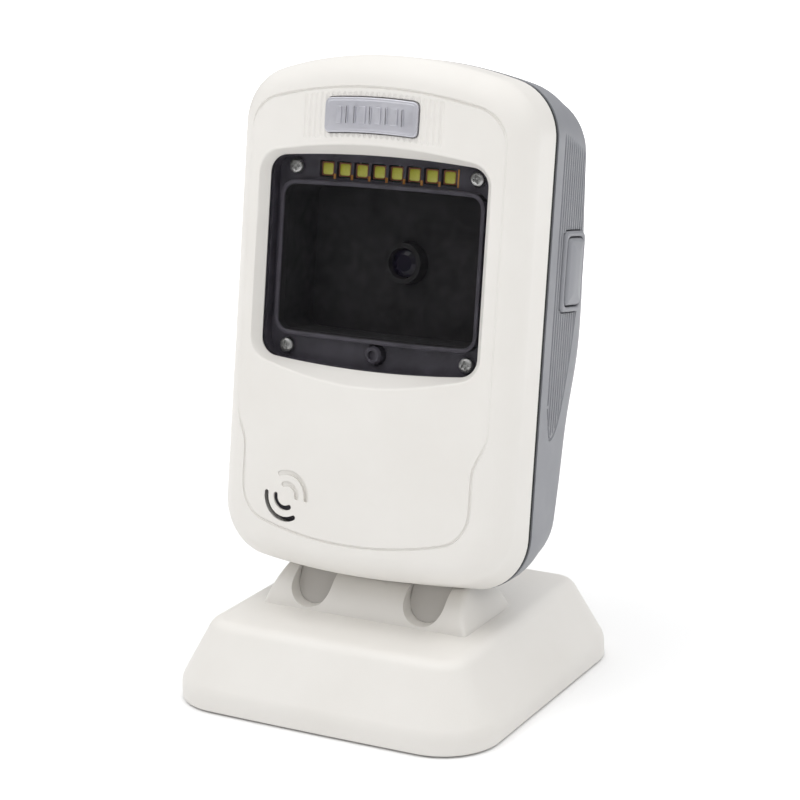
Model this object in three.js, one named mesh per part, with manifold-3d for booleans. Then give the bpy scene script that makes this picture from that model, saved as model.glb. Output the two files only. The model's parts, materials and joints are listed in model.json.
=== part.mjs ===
// Hands-free barcode scanner: a reading head that tilts on the round saddle of a weighted stand.
// Millimetres, +Z up, +X to the right of someone facing it, the window faces -Y. The origin is on
// the table under the middle of the stand. The head has its own frame, which leans with it:
// x to the right, y from the face back, z up along the face.

import * as THREE from 'three';
import { mergeVertices } from 'three/addons/utils/BufferGeometryUtils.js';
import Module from 'manifold-3d';

const wasm = await Module();
wasm.setup();

// ---------------------------------------------------------------- driving dimensions

const GAP = 0.3; // between pieces that would touch
const WALL = 2; // moulded shells

const HEAD = { halfWidth: 39, bottom: 8, top: 134.85, bottomArc: 260, topArc: 105, corner: 14 };
const FACE = { ...HEAD, bottom: 10.5 }; // the front half rises towards the face
const LEAN = THREE.MathUtils.degToRad(9.11);
const CROWN = { rise: 2.8, halfWidth: 34 }; // the face bows forward across its width
const FRONT_ROUND = 7;
const REAR_ROUND = 8;
const SEAM = { front: 16, back: 17.5 }; // the black joint between the two shells
const REAR_DEEPEST = 44.6;

const RADIUS_CLEARANCE = 0.5;
const DRUM = { y: -5.3, z: 17.3, radius: 12.7, wall: 3.1, halfLength: 28.1, taper: 0.37 };
const PIVOT = { back: 20.1, up: -1.5 }; // the drum's axis in the head's frame
const LUG = { x: 15.6, width: 10.2, radius: 9.3, front: 14, back: 26 };
const BRACKET = { bottom: 15.2, top: 18.2 };
const NOTCH = { width: 11, floor: 20.7, rear: 21.2 };
const PIN_RADIUS = 2;

const BASE = { halfWidth: 42.5, bottom: -43.5, top: 43.5, bottomArc: 2000, topArc: 2000, corner: 14.4 };
const BASE_UNDERSIDE = 0.3;
const PLATEAU = 20.1;
const FLOOR = { under: 0.5, top: 3 };
const FOOT = { x: 31, y: 32, radius: 5, top: 1.2 };
const BASE_SCREW = { x: 27, y: 25 };

const APERTURE = { halfWidth: 29.1, bottom: 60.4, top: 111.2, bottomArc: 262, topArc: 288, corner: 4.5 };
const REVEAL = { halfWidth: 33, bottom: 56.7, top: 113.8, bottomArc: 111, topArc: 200, corner: 7 };
const APERTURE_DEPTH = 2;
const REVEAL_DEPTH = -3;
const PANE = { front: 2.3, back: 3.8, overlap: 1.2 };
const TRAY = { lip: 4.2, face: 6.6, back: 8.6, chamberBack: 22 };
const CHAMBER = { halfWidth: 26.5, bottom: 67.6, top: 103.6 };
const LEDS = { count: 8, pitch: 4.7, z: 107.3, size: 3.4, pocket: 4, front: 7.1, back: 10.1 };
const TRAY_SCREW = { x: 24.45, top: 107.5, bottom: 64 };
const LENS = { z: 85.6, radius: 5, wall: 1.2 };
const SENSOR = { z: 64, radius: 2.3 };

const SOUND = { x: -18, z: 28.2, outer: 5.5, inner: 2.75, width: 1 };
const NAME_PLATE = {
  halfWidth: 12.3, bottom: 116.5, top: 124.7, bottomArc: 3000, topArc: 3000, corner: 1.4,
};
const PLATE_ARCH = 145; // the plate and the flutes beside it arch over the window
const PLATE_BARS = {
  widths: [1.4, 0.6, 0.6, 1.8, 0.6, 1.4, 0.6, 1.8, 0.6], pitch: 2.1, bottom: 118.6, top: 122.6,
};
const FLUTE_BAND = { halfWidth: 18.75, bottom: 115.6, top: 125.5, pitch: 1.5, depth: 0.35 };
const GRIP = { front: 21.6, pitch: 1.35, count: 12, top: 116, tip: 24, bottom: 47.2, depth: 0.4 };
const BUTTON = { y: 30.2, z: 86.6, width: 8.4, height: 16.2, face: 40.4 };
const BUTTON_FRAME = { width: 11.6, height: 19.4, face: 39.5 };
const REAR_SCREWS = [[-15, 118.5], [15, 118.5], [-30, 27], [30, 27]];

// ---------------------------------------------------------------- materials

const paint = (color, roughness, metalness = 0) =>
  new THREE.MeshStandardMaterial({ color, roughness, metalness });
const WHITE = paint(0xe4e2dc, 0.45);
const GREY = paint(0x8d9096, 0.5);
const BLACK = paint(0x1a1a1c, 0.5);
const TRAY_BLACK = paint(0x2a2a2e, 0.6);
const PANE_TINT = paint(0x26262a, 0.08);
const SILVER = paint(0xc4c4ca, 0.3, 0.8);
const STEEL = paint(0xb4b4b2, 0.3, 1);
const BOARD = paint(0x1d5a38, 0.5);
const PHOSPHOR = paint(0xc6c83a, 0.4);
const GLASS = paint(0x1c2430, 0.05);
const RUBBER = paint(0x2c2c2c, 0.9);
const FILM = paint(0xb8742c, 0.4);

// ---------------------------------------------------------------- solids

function solid(geometry) {
  const bare = geometry.clone();
  bare.deleteAttribute('normal');
  bare.deleteAttribute('uv');
  const merged = mergeVertices(bare, 1e-4);
  return new wasm.Manifold(new wasm.Mesh({
    numProp: 3,
    vertProperties: merged.attributes.position.array,
    triVerts: new Uint32Array(merged.index.array),
  }));
}

function toGeometry(manifold) {
  const mesh = manifold.getMesh();
  const geometry = new THREE.BufferGeometry();
  geometry.setAttribute('position', new THREE.BufferAttribute(mesh.vertProperties, mesh.numProp));
  geometry.setIndex(new THREE.BufferAttribute(mesh.triVerts, 1));
  return geometry;
}

function volume(positions, index) {
  const corner = (i) => new THREE.Vector3(...positions.slice(3 * i, 3 * i + 3));
  let total = 0;
  for (let i = 0; i < index.length; i += 3) {
    const [a, b, c] = [corner(index[i]), corner(index[i + 1]), corner(index[i + 2])];
    total += a.dot(b.cross(c)) / 6;
  }
  return total;
}

const FINE = { corner: 4, bow: 6, side: 5 };
const COARSE = { corner: 3, bow: 4, side: 5 };
const PLAIN = { corner: 3, bow: 6, side: 1 };

function fan(ring) {
  return ring.slice(1, -1).map((_, i) => [ring[0], ring[i + 1], ring[i + 2]]);
}

// Closes an outline with strips that run across it, so that depth may change with height.
function stripsAcross(steps, count) {
  const apex = steps.corner + steps.bow / 2;
  const triangles = [];
  for (let k = 0; k < count / 2; k += 1) {
    const [left, nextLeft] = [apex + k, apex + k + 1].map((i) => i % count);
    const [right, nextRight] = [apex - k, apex - k - 1].map((i) => (i + count) % count);
    if (left !== right) triangles.push([left, nextLeft, right]);
    if (nextLeft !== nextRight) triangles.push([nextLeft, nextRight, right]);
  }
  return triangles;
}

// Closes an outline with strips that run up it, so that depth may change with width.
function stripsUp(steps) {
  const width = 2 * steps.corner + steps.bow;
  const low = width + steps.side;
  const rightSide = Array.from({ length: steps.side }, (_, k) => low + width + k);
  const leftSide = Array.from({ length: steps.side }, (_, k) => width + k);
  const triangles = [
    ...fan([width - 1, ...leftSide, low, low + 1]),
    ...fan([1, low + width - 1, ...rightSide, 0]),
  ];
  for (let k = 1; k < width - 1; k += 1) {
    const [top, nextTop] = [width - k, width - k - 1];
    triangles.push([top, low + k, low + k + 1], [top, low + k + 1, nextTop]);
  }
  return triangles;
}

// Joins rings of points into one closed solid, with a fan over each end or a given far end.
function loft(rings, farEnd = null) {
  const count = rings[0].length;
  const positions = rings.flat(2);
  const index = [];
  for (let ring = 0; ring < rings.length - 1; ring += 1) {
    for (let i = 0; i < count; i += 1) {
      const next = (i + 1) % count;
      const [a, b] = [ring * count + i, ring * count + next];
      index.push(a, b, b + count, a, b + count, a + count);
    }
  }
  if (farEnd) {
    const start = (rings.length - 1) * count;
    farEnd.forEach((corners) => index.push(...corners.map((i) => start + i)));
  }
  for (const [ring, flip] of farEnd ? [[0, true]] : [[0, true], [rings.length - 1, false]]) {
    const centre = positions.length / 3;
    const middle = [0, 1, 2].map((k) => rings[ring].reduce((sum, p) => sum + p[k], 0) / count);
    positions.push(...middle);
    for (let i = 0; i < count; i += 1) {
      const [a, b] = [ring * count + i, ring * count + ((i + 1) % count)];
      index.push(...(flip ? [centre, b, a] : [centre, a, b]));
    }
  }
  if (volume(positions, index) < 0) index.reverse();
  const geometry = new THREE.BufferGeometry();
  geometry.setAttribute('position', new THREE.Float32BufferAttribute(positions, 3));
  geometry.setIndex(index);
  return solid(geometry);
}

// A four-sided outline with bowed top and bottom and round corners, as [across, up] points.
function outline(shape, inset = 0, steps = FINE) {
  const half = shape.halfWidth - inset;
  const round = Math.max(shape.corner - inset, 0.5);
  const upper = shape.topArc - inset;
  const lower = shape.bottomArc - inset;
  const upperCentre = shape.top - shape.topArc;
  const lowerCentre = shape.bottom + shape.bottomArc;
  const reach = half - round;
  const topRound = upperCentre + Math.sqrt((upper - round) ** 2 - reach ** 2);
  const bottomRound = lowerCentre - Math.sqrt((lower - round) ** 2 - reach ** 2);
  const topTurn = Math.atan2(topRound - upperCentre, reach);
  const bottomTurn = Math.atan2(lowerCentre - bottomRound, reach);
  const points = [];
  const arc = (x, z, radius, from, to, count) => {
    for (let i = 0; i < count; i += 1) {
      const turn = from + ((to - from) * i) / count;
      points.push([x + radius * Math.cos(turn), z + radius * Math.sin(turn)]);
    }
  };
  const side = (x, from, to) => {
    for (let i = 0; i < steps.side; i += 1) points.push([x, from + ((to - from) * i) / steps.side]);
  };
  arc(reach, topRound, round, 0, topTurn, steps.corner);
  arc(0, upperCentre, upper, topTurn, Math.PI - topTurn, steps.bow);
  arc(-reach, topRound, round, Math.PI - topTurn, Math.PI, steps.corner);
  side(-half, topRound, bottomRound);
  arc(-reach, bottomRound, round, Math.PI, Math.PI + bottomTurn, steps.corner);
  arc(0, lowerCentre, lower, Math.PI + bottomTurn, 2 * Math.PI - bottomTurn, steps.bow);
  arc(reach, bottomRound, round, -bottomTurn, 0, steps.corner);
  side(half, bottomRound, topRound);
  return points;
}

const upright = (points, y) => points.map(([x, z]) => [x, typeof y === 'function' ? y(x, z) : y, z]);
const level = (points, z) => points.map(([x, y]) => [x, y, z]);

const slab = (points, y0, y1) => loft([upright(points, y0), upright(points, y1)]);

function block([x0, x1], [y0, y1], [z0, z1]) {
  const box = new THREE.BoxGeometry(x1 - x0, y1 - y0, z1 - z0);
  return solid(box.translate((x0 + x1) / 2, (y0 + y1) / 2, (z0 + z1) / 2));
}

// A rod along one axis, from one end to the other, through a point given in the other two.
function rod(axis, radius, [from, to], [a, b], segments = 16) {
  const round = new THREE.CylinderGeometry(radius, radius, to - from, segments);
  const middle = (from + to) / 2;
  if (axis === 'x') round.rotateZ(Math.PI / 2).translate(middle, a, b);
  if (axis === 'y') round.translate(a, middle, b);
  if (axis === 'z') round.rotateX(Math.PI / 2).translate(a, b, middle);
  return solid(round);
}

// A curved slot of a ring, seen from the front.
function arcSlot(radius, width, from, to, y0, y1) {
  const shape = new THREE.Shape();
  shape.absarc(0, 0, radius + width / 2, from, to, false);
  shape.absarc(0, 0, radius - width / 2, to, from, true);
  const options = { depth: y1 - y0, bevelEnabled: false, curveSegments: 5 };
  const slot = new THREE.ExtrudeGeometry(shape, options);
  return solid(slot.rotateX(Math.PI / 2).translate(SOUND.x, y1, SOUND.z));
}

const union = (solids) => solids.reduce((whole, piece) => whole.add(piece));

const bothSides = (make) => [make(-1), make(1)];

// ---------------------------------------------------------------- the head's outer form

const crown = (x) => -CROWN.rise * (1 - (x / CROWN.halfWidth) ** 2);

// The front shell's form, from the seam forward over the rounded edge to the bowed face.
function frontForm(inset, seam, steps = FINE) {
  const round = FRONT_ROUND - inset;
  const rings = [upright(outline(HEAD, inset, steps), seam)];
  for (const turn of roundTurns(steps)) {
    const points = outline(FACE, inset + round * (1 - Math.cos(turn)), steps);
    rings.push(upright(points, (x) => crown(x) + inset + round * (1 - Math.sin(turn))));
  }
  return loft(rings, stripsUp(steps));
}

// The steps of a rounded edge, fewer inside the shells than outside.
const roundTurns = (steps) =>
  (steps === FINE ? [0, 30, 60, 90] : [0, 45, 90]).map(THREE.MathUtils.degToRad);

// How deep the head is at each height: thick behind the window, waisted below it.
const depthCurve = new THREE.CubicInterpolant(
  [6, 20, 36, 50, 66, 76, 100, 120, 135],
  [32.8, 34.3, 37.2, 39.4, 44, REAR_DEEPEST, 42, 39.8, 38.6],
  1,
);
const depthAt = (z) => depthCurve.evaluate(z)[0];

// The rear shell's form. Its top and bottom close in towards the back, then the edge rounds over.
function rearForm(inset, start, steps = FINE) {
  const full = REAR_DEEPEST - SEAM.back;
  const flat = full - REAR_ROUND;
  const stations = [[0, 0, 0], [0.28, 0, 0.3], [0.57, 0.2, 0.8], [1, 0.5, 3]];
  const rings = [upright(outline(HEAD, inset, steps), start)];
  const add = (back, side, drop, step) => {
    const shape = {
      ...HEAD,
      halfWidth: HEAD.halfWidth - side,
      top: HEAD.top - drop,
      bottom: HEAD.bottom + drop,
    };
    const depth = (x, z) => SEAM.back + (back * (depthAt(z) - SEAM.back - inset)) / full;
    rings.push(upright(outline(shape, inset + step, steps), depth));
  };
  for (const [share, side, drop] of stations) add(share * flat, side, drop, 0);
  const [, side, drop] = stations.at(-1);
  for (const turn of roundTurns(steps).slice(1)) {
    add(flat + REAR_ROUND * Math.sin(turn), side, drop, REAR_ROUND * (1 - Math.cos(turn)));
  }
  return loft(rings, stripsAcross(steps, rings[0].length));
}

const seatRod = (radius, half) => rod('x', radius, [-half, half], [PIVOT.back, PIVOT.up], 40);

// The hollow under the head that turns over the saddle, with a slot for each hinge lug.
function cutSeat(shell, form) {
  const seat = DRUM.radius + RADIUS_CLEARANCE;
  const slots = bothSides((side) => {
    const half = LUG.width / 2 + 0.5;
    const x = side * LUG.x;
    return block([x - half, x + half], [LUG.front - 0.6, LUG.back + 0.6], [0, 17]);
  });
  const lined = shell.add(seatRod(seat + WALL, 30).intersect(form));
  return lined.subtract(seatRod(seat, 27)).subtract(union(slots));
}

// ---------------------------------------------------------------- head, front half

const archSag = (x) => (x * x) / (2 * PLATE_ARCH);

const plateOutline = (inset) => outline(NAME_PLATE, inset, PLAIN).map(([x, z]) => [x, z - archSag(x)]);

function flutes() {
  const outermost = Math.floor(FLUTE_BAND.halfWidth / FLUTE_BAND.pitch);
  const innermost = Math.ceil((NAME_PLATE.halfWidth + 1) / FLUTE_BAND.pitch);
  const grooves = [];
  for (let i = -outermost; i <= outermost; i += 1) {
    if (Math.abs(i) < innermost) continue;
    const x = i * FLUTE_BAND.pitch;
    const sag = archSag(x);
    const [low, high] = [FLUTE_BAND.bottom - sag, FLUTE_BAND.top - sag];
    const section = [[-0.45, 0], [0, -FLUTE_BAND.depth], [0.45, 0], [0, FLUTE_BAND.depth]];
    const ring = (z) => section.map(([across, deep]) => [x + across, crown(x) + deep, z]);
    grooves.push(loft([ring(low), ring(high)]));
  }
  return union(grooves);
}

// The fine line that runs round the face and steps in below the window.
function faceLine() {
  const path = outline(
    { halfWidth: 34, bottom: 18.8, top: 127.1, bottomArc: 120, topArc: 115, corner: 9 },
    0,
    { corner: 3, bow: 6, side: 8 },
  ).map(([x, z]) => [x * (1 - 0.094 * (1 - THREE.MathUtils.smoothstep(z, 39, 49))), z]);
  const count = path.length;
  const positions = [];
  const index = [];
  path.forEach(([x, z], i) => {
    const [px, pz] = path[(i + count - 1) % count];
    const [nx, nz] = path[(i + 1) % count];
    const along = new THREE.Vector2(nx - px, nz - pz).normalize();
    const edge = 0.17;
    for (const [out, deep] of [[-0.45, 0], [0, -0.4], [0.45, 0], [0, 0.4]]) {
      positions.push(x + along.y * out, crown(x) + edge + deep, z - along.x * out);
    }
    for (let k = 0; k < 4; k += 1) {
      const [a, b] = [4 * i + k, 4 * i + ((k + 1) % 4)];
      const [c, d] = [(a + 4) % (4 * count), (b + 4) % (4 * count)];
      index.push(a, b, d, a, d, c);
    }
  });
  if (volume(positions, index) < 0) index.reverse();
  const geometry = new THREE.BufferGeometry();
  geometry.setAttribute('position', new THREE.Float32BufferAttribute(positions, 3));
  geometry.setIndex(index);
  return solid(geometry);
}

function soundMark() {
  const turn = THREE.MathUtils.degToRad;
  const surface = crown(SOUND.x);
  const open = (radius) => arcSlot(radius, SOUND.width, turn(175), turn(295), -4, 3);
  const shallow = (radius) =>
    arcSlot(radius, SOUND.width, turn(0), turn(115), -4, surface + 0.4);
  return union([SOUND.outer, SOUND.inner].flatMap((radius) => [open(radius), shallow(radius)]));
}

function windowCut() {
  const reveal = loft([
    upright(outline(REVEAL), REVEAL_DEPTH - 1),
    upright(outline(REVEAL), REVEAL_DEPTH),
    upright(outline(APERTURE), APERTURE_DEPTH),
    upright(outline(APERTURE), APERTURE_DEPTH + 1),
  ]);
  const pocket = slab(outline(APERTURE, -PANE.overlap - GAP), APERTURE_DEPTH, SEAM.front);
  return reveal.add(pocket);
}

function frontShell() {
  const form = frontForm(0, SEAM.front);
  const inside = frontForm(WALL, SEAM.front + 1, COARSE);
  const collar = slab(outline(APERTURE, -3.4), -1, 6).intersect(form);
  const posts = REAR_SCREWS.map((place) => rod('y', 3.2, [0, SEAM.front - GAP], place, 12).intersect(form));
  const beeperWall = rod('y', 8, [-1, 5.5], [SOUND.x, SOUND.z])
    .subtract(rod('y', 6.8, [-2, 6], [SOUND.x, SOUND.z]));
  const shell = cutSeat(form.subtract(inside), form).add(union([collar, beeperWall, ...posts]));
  const screwHoles = REAR_SCREWS.map(([x, z]) => rod('y', 1.7, [5, SEAM.front + 1], [x, z], 8));
  const platePocket = slab(plateOutline(-GAP), -5, crown(0) + 1.2);
  const cuts = [windowCut(), soundMark(), flutes(), faceLine(), platePocket, ...screwHoles];
  return shell.subtract(union(cuts));
}

function windowPane() {
  return slab(outline(APERTURE, -PANE.overlap), PANE.front, PANE.back);
}

// A bowed plate with a row of raised bars of different widths.
function namePlate() {
  const points = plateOutline(0);
  const back = crown(0) + 1.2 - GAP;
  const body = loft([
    upright(points, back),
    upright(points, (x) => crown(x) - 0.3),
    upright(plateOutline(0.35), (x) => crown(x) - 0.6),
  ]);
  const { widths, pitch, bottom, top } = PLATE_BARS;
  const bars = widths.map((width, i) => {
    const x = (i - (widths.length - 1) / 2) * pitch;
    const [depths, sag] = [[crown(x) - 0.85, crown(x) - 0.1], archSag(x)];
    return block([x - width / 2, x + width / 2], depths, [bottom - sag, top - sag]);
  });
  return body.add(union(bars));
}

function opticsTray() {
  const { halfWidth, bottom, top } = CHAMBER;
  const chamber = (grow, y0, y1) =>
    block([-halfWidth - grow, halfWidth + grow], [y0, y1], [bottom - grow, top + grow]);
  const plate = slab(outline(APERTURE, -PANE.overlap), TRAY.face, TRAY.back);
  const walls = chamber(1, TRAY.lip, TRAY.chamberBack);
  const rim = slab(outline(APERTURE, -PANE.overlap), PANE.back + GAP, TRAY.face + 0.1)
    .subtract(slab(outline(APERTURE, -0.3), PANE.back, TRAY.face + 1));
  const through = [TRAY.face - 1, TRAY.back + 1];
  const half = LEDS.pocket / 2;
  const pockets = ledCentres().map((x) =>
    block([x - half, x + half], through, [LEDS.z - half, LEDS.z + half]));
  const screwHoles = trayScrewPlaces().map((place) => rod('y', 1.3, through, place, 8));
  const hollow = chamber(0, TRAY.lip - 1, TRAY.chamberBack - 1.5);
  const behind = [TRAY.chamberBack - 3, TRAY.chamberBack + 1];
  const lensHole = rod('y', LENS.radius + GAP, behind, [0, LENS.z]);
  const sensorHole = rod('y', SENSOR.radius + 2 * GAP, through, [0, SENSOR.z]);
  return union([plate, walls, rim])
    .subtract(union([...pockets, ...screwHoles, hollow, lensHole, sensorHole]));
}

function ledCentres() {
  return Array.from({ length: LEDS.count }, (_, i) => (i - (LEDS.count - 1) / 2) * LEDS.pitch);
}

function trayScrewPlaces() {
  return bothSides((side) => side * TRAY_SCREW.x)
    .flatMap((x) => [[x, TRAY_SCREW.top], [x, TRAY_SCREW.bottom]]);
}

function led(x) {
  const half = LEDS.size / 2;
  const square = (size, y) => [[1, 1], [-1, 1], [-1, -1], [1, -1]]
    .map(([a, b]) => [x + a * size, y, LEDS.z + b * size]);
  return loft([square(half, LEDS.back), square(half, LEDS.front + 0.3), square(half - 0.3, LEDS.front)]);
}

function crossScrew(radius, shank, [x, z], headFront, headBack, tip) {
  const head = loft([
    ringAt(radius, x, z, headBack),
    ringAt(radius, x, z, headFront + 0.3),
    ringAt(radius * 0.75, x, z, headFront),
  ]);
  const shaft = rod('y', shank, [Math.min(headBack, tip) - 0.1, Math.max(headBack, tip)], [x, z], 8);
  const arm = radius * 0.55;
  const reach = (headFront < headBack ? [-1, 0.5] : [-0.5, 1]).map((step) => headFront + step);
  const cross = block([x - arm, x + arm], reach, [z - 0.25, z + 0.25])
    .add(block([x - 0.25, x + 0.25], reach, [z - arm, z + arm]));
  return head.add(shaft).subtract(cross);
}

const ringAt = (radius, x, z, y, count = 12) => Array.from({ length: count }, (_, i) => {
  const turn = (2 * Math.PI * i) / count;
  return [x + radius * Math.cos(turn), y, z + radius * Math.sin(turn)];
});

const trayScrew = (place) => crossScrew(1.9, 1, place, 5.1, TRAY.face - GAP, 13);

function proximitySensor() {
  const { z, radius } = SENSOR;
  const can = loft([ringAt(radius, 0, z, 11), ringAt(radius, 0, z, 5), ringAt(0.8 * radius, 0, z, 4.4)]);
  return can.subtract(rod('y', 1.1, [4, 5.2], [0, z], 16));
}

// The frame behind the tray, which the tray's screws bite into.
function chassis() {
  const { halfWidth, bottom, top } = CHAMBER;
  const clear = 1 + 2 * GAP;
  const frame = block([-32, 32], [12.2, 14.2], [57, 113.5]);
  const opening = block(
    [-halfWidth - clear, halfWidth + clear],
    [11, 15],
    [bottom - clear, top + clear],
  );
  const tubes = trayScrewPlaces().map((place) => rod('y', 2.4, [TRAY.back + GAP, 14.2], place, 12));
  const holes = trayScrewPlaces().map((place) => rod('y', 1.3, [TRAY.back, 15], place, 8));
  const sensorHole = rod('y', SENSOR.radius + 3 * GAP, [11, 15], [0, SENSOR.z], 16);
  return frame.subtract(opening).subtract(sensorHole).add(union(tubes)).subtract(union(holes));
}

const ledBoard = () => block([-20, 20], [10.4, 11.6], [LEDS.z - 2.4, LEDS.z + 2.8]);
const imagerBoard = () => block([-17, 17], [26.3, 27.5], [LENS.z - 13, LENS.z + 13]);

function lensBarrel() {
  const outside = rod('y', LENS.radius, [17, 24], [0, LENS.z], 32)
    .add(block([-7, 7], [23, 26], [LENS.z - 7, LENS.z + 7]));
  return outside.subtract(rod('y', LENS.radius - LENS.wall, [16, 24], [0, LENS.z], 32));
}

function lensGlass() {
  const radius = LENS.radius - LENS.wall - GAP;
  return loft([
    ringAt(radius, 0, LENS.z, 20),
    ringAt(radius, 0, LENS.z, 18.4),
    ringAt(radius * 0.6, 0, LENS.z, 17.9),
  ]);
}

const mainBoard = () => block([-29, 29], [31, 32.6], [57, 111]);
const processorChip = () => block([-7, 7], [28.9, 30.7], [60, 68]);

// A strip from the light board, over the top of the optics chamber, to the main board.
function flexCable() {
  const [top, thick] = [112.6, 0.4];
  const over = block([-5, 5], [15, 30.6], [top, top + thick]);
  const down = block([-5, 5], [30.6 - thick, 30.6], [106, top + thick]);
  const front = block([-5, 5], [15, 15 + thick], [107, top + thick]);
  return union([over, down, front]);
}

function beeper() {
  const place = [SOUND.x, SOUND.z];
  return rod('y', 6.4, [1.6, 6.6], place).subtract(rod('y', 1.2, [1, 4], place, 16));
}

function sealRing() {
  const [y0, y1] = [SEAM.front + GAP, SEAM.back - GAP];
  const steps = { corner: 4, bow: 6, side: 1 };
  const band = slab(outline(HEAD, 0.25, steps), y0, y1)
    .subtract(slab(outline(HEAD, 2.8, steps), y0 - 1, y1 + 1));
  return band.subtract(seatRod(DRUM.radius + RADIUS_CLEARANCE + WALL, 27));
}

// ---------------------------------------------------------------- head, rear half

// The lower end of the fluted panel: steep in front of its tip and sweeping up behind it.
const gripTip = (y) => GRIP.bottom
  + (y < GRIP.tip ? 4.4 * ((GRIP.tip - y) / 1.7) ** 1.5 : 0.123 * (y - GRIP.tip) ** 2.3);

// Fine upright grooves on both sides, inside a shape that comes to a point near the waist.
function gripGrooves() {
  const grooves = [];
  for (let i = 0; i < GRIP.count; i += 1) {
    const y = GRIP.front + i * GRIP.pitch;
    const tip = gripTip(y) + 1;
    const high = GRIP.top - 0.35 * (y - GRIP.front);
    for (const side of [-1, 1]) {
      const surface = side * (HEAD.halfWidth - 0.2);
      const ring = (z) => [[0, -0.42], [-GRIP.depth * side, 0], [0, 0.42], [side, 0]]
        .map(([deep, across]) => [surface + deep, y + across, z]);
      grooves.push(loft([ring(tip), ring(high)]));
    }
  }
  return union(grooves);
}

function roundedBlock(xs, width, height, corner) {
  const shape = {
    halfWidth: width / 2,
    bottom: BUTTON.z - height / 2,
    top: BUTTON.z + height / 2,
    bottomArc: 500,
    topArc: 500,
    corner,
  };
  const rings = xs.map(([x, inset]) =>
    outline(shape, inset, { corner: 3, bow: 1, side: 1 }).map(([across, z]) => [x, BUTTON.y + across, z]));
  return loft(rings);
}

function rearShell() {
  const form = rearForm(0, SEAM.back);
  const inside = rearForm(WALL, SEAM.back - 1, COARSE);
  const postEnd = (z) => depthAt(z) - 1;
  const tubes = REAR_SCREWS.map(([x, z]) =>
    rod('y', 4.2, [SEAM.back, postEnd(z)], [x, z], 12).intersect(form));
  const boardPosts = bothSides((side) => side * 24).flatMap((x) => [62, 104]
    .map((z) => rod('y', 2, [32.9, postEnd(z)], [x, z], 8)));
  const bracketRest = block([-8, 8], [SEAM.back, 26], [12, BRACKET.bottom - GAP])
    .subtract(seatRod(DRUM.radius + RADIUS_CLEARANCE, 27));
  const shell = cutSeat(form.subtract(inside), form).add(union([...tubes, ...boardPosts, bracketRest]));
  const wells = REAR_SCREWS.flatMap(([x, z]) => [
    rod('y', 3, [SEAM.back + 9, 50], [x, z], 12),
    rod('y', 1.7, [SEAM.back - 1, 50], [x, z], 8),
  ]);
  const buttonHole = roundedBlock(
    [[35, -GAP], [42, -GAP]],
    BUTTON_FRAME.width,
    BUTTON_FRAME.height,
    2,
  );
  const port = slab(outline(portShape(0.4 + GAP)), 28, 40);
  const bracketHoles = bracketScrewPlaces().map((x) => rod('z', 1.4, [12.1, 17], [x, 22], 12));
  return shell.subtract(union([...wells, buttonHole, port, gripGrooves(), ...bracketHoles]));
}

const rearScrew = ([x, z]) => crossScrew(2.6, 1.35, [x, z], SEAM.back + 11.2, SEAM.back + 9 + GAP, 8);

function portShape(grow) {
  const [half, middle, high] = [4.5 + grow, 30, 1.6 + grow];
  const [bottom, top] = [middle - high, middle + high];
  return { halfWidth: half, bottom, top, bottomArc: 500, topArc: 500, corner: high * 0.9 };
}

function dataPort() {
  const body = slab(outline(portShape(0.4), 0, { corner: 4, bow: 1, side: 1 }), 27, 34.6);
  const socket = slab(outline(portShape(0), 0, { corner: 4, bow: 1, side: 1 }), 28.5, 36);
  return body.subtract(socket).add(block([-3.2, 3.2], [28, 33.8], [29.6, 30.4]));
}

const portBoard = () => block([-9, 9], [25.4, 26.7], [24, 40]);

function buttonFrame() {
  const [back, face] = [37.2, BUTTON_FRAME.face];
  const { width, height } = BUTTON_FRAME;
  const ring = roundedBlock([[back, 0], [face - 0.5, 0], [face, 0.5]], width, height, 2);
  const opening = [[back - 1, -GAP], [face + 1, -GAP]];
  return ring.subtract(roundedBlock(opening, BUTTON.width, BUTTON.height, 1.4));
}

function sideButton() {
  const { width, height, face } = BUTTON;
  const crowned = [[36, 0], [face - 1.2, 0], [face - 0.35, 0.4], [face, 1.4]];
  const cap = roundedBlock(crowned, width, height, 1.4);
  const flange = roundedBlock([[35.6, 0], [36.7, 0]], width + 2.2, height + 2.2, 1.4);
  return union([cap, flange, rod('x', 1.6, [34.5, 36], [BUTTON.y, BUTTON.z], 16)]);
}

function tactSwitch() {
  const { y, z } = BUTTON;
  return block([29.5, 32.4], [y - 3, y + 3], [z - 3, z + 3]).add(rod('x', 1.75, [32, 33.3], [y, z], 16));
}

const switchBoard = () =>
  block([28, 29.2], [BUTTON.y - 5.5, BUTTON.y + 0.2], [BUTTON.z - 7, BUTTON.z + 7]);

// ---------------------------------------------------------------- hinge

// Two round lugs on a cross plate. The plate is inside the head and the lugs turn on the pin.
function tiltBracket() {
  const { back, up } = PIVOT;
  const lugs = bothSides((side) => {
    const [x0, x1] = [side * LUG.x - LUG.width / 2, side * LUG.x + LUG.width / 2];
    return rod('x', LUG.radius, [x0, x1], [back, up], 40)
      .add(block([x0, x1], [LUG.front, LUG.back], [up, BRACKET.bottom + 1]));
  });
  const plate = block([-21.2, 21.2], [LUG.front, LUG.back - 1], [BRACKET.bottom, BRACKET.top]);
  const bore = rod('x', PIN_RADIUS + GAP, [-25, 25], [back, up]);
  const through = [BRACKET.bottom - 1, BRACKET.top + 1];
  const holes = bracketScrewPlaces().map((x) => rod('z', 1.4, through, [x, 22], 12));
  return plate.add(union(lugs)).subtract(union([bore, ...holes]));
}

function bracketScrewPlaces() {
  return bothSides((side) => side * 4.5);
}

function bracketScrew(x) {
  const under = BRACKET.top + GAP;
  return rod('z', 2.2, [under, under + 1.4], [x, 22], 12)
    .add(rod('z', 1.1, [12.5, under + 0.1], [x, 22], 8));
}

const pivotPin = () => rod('x', PIN_RADIUS, [-24.9, 24.9], [DRUM.y, DRUM.z]);

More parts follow.
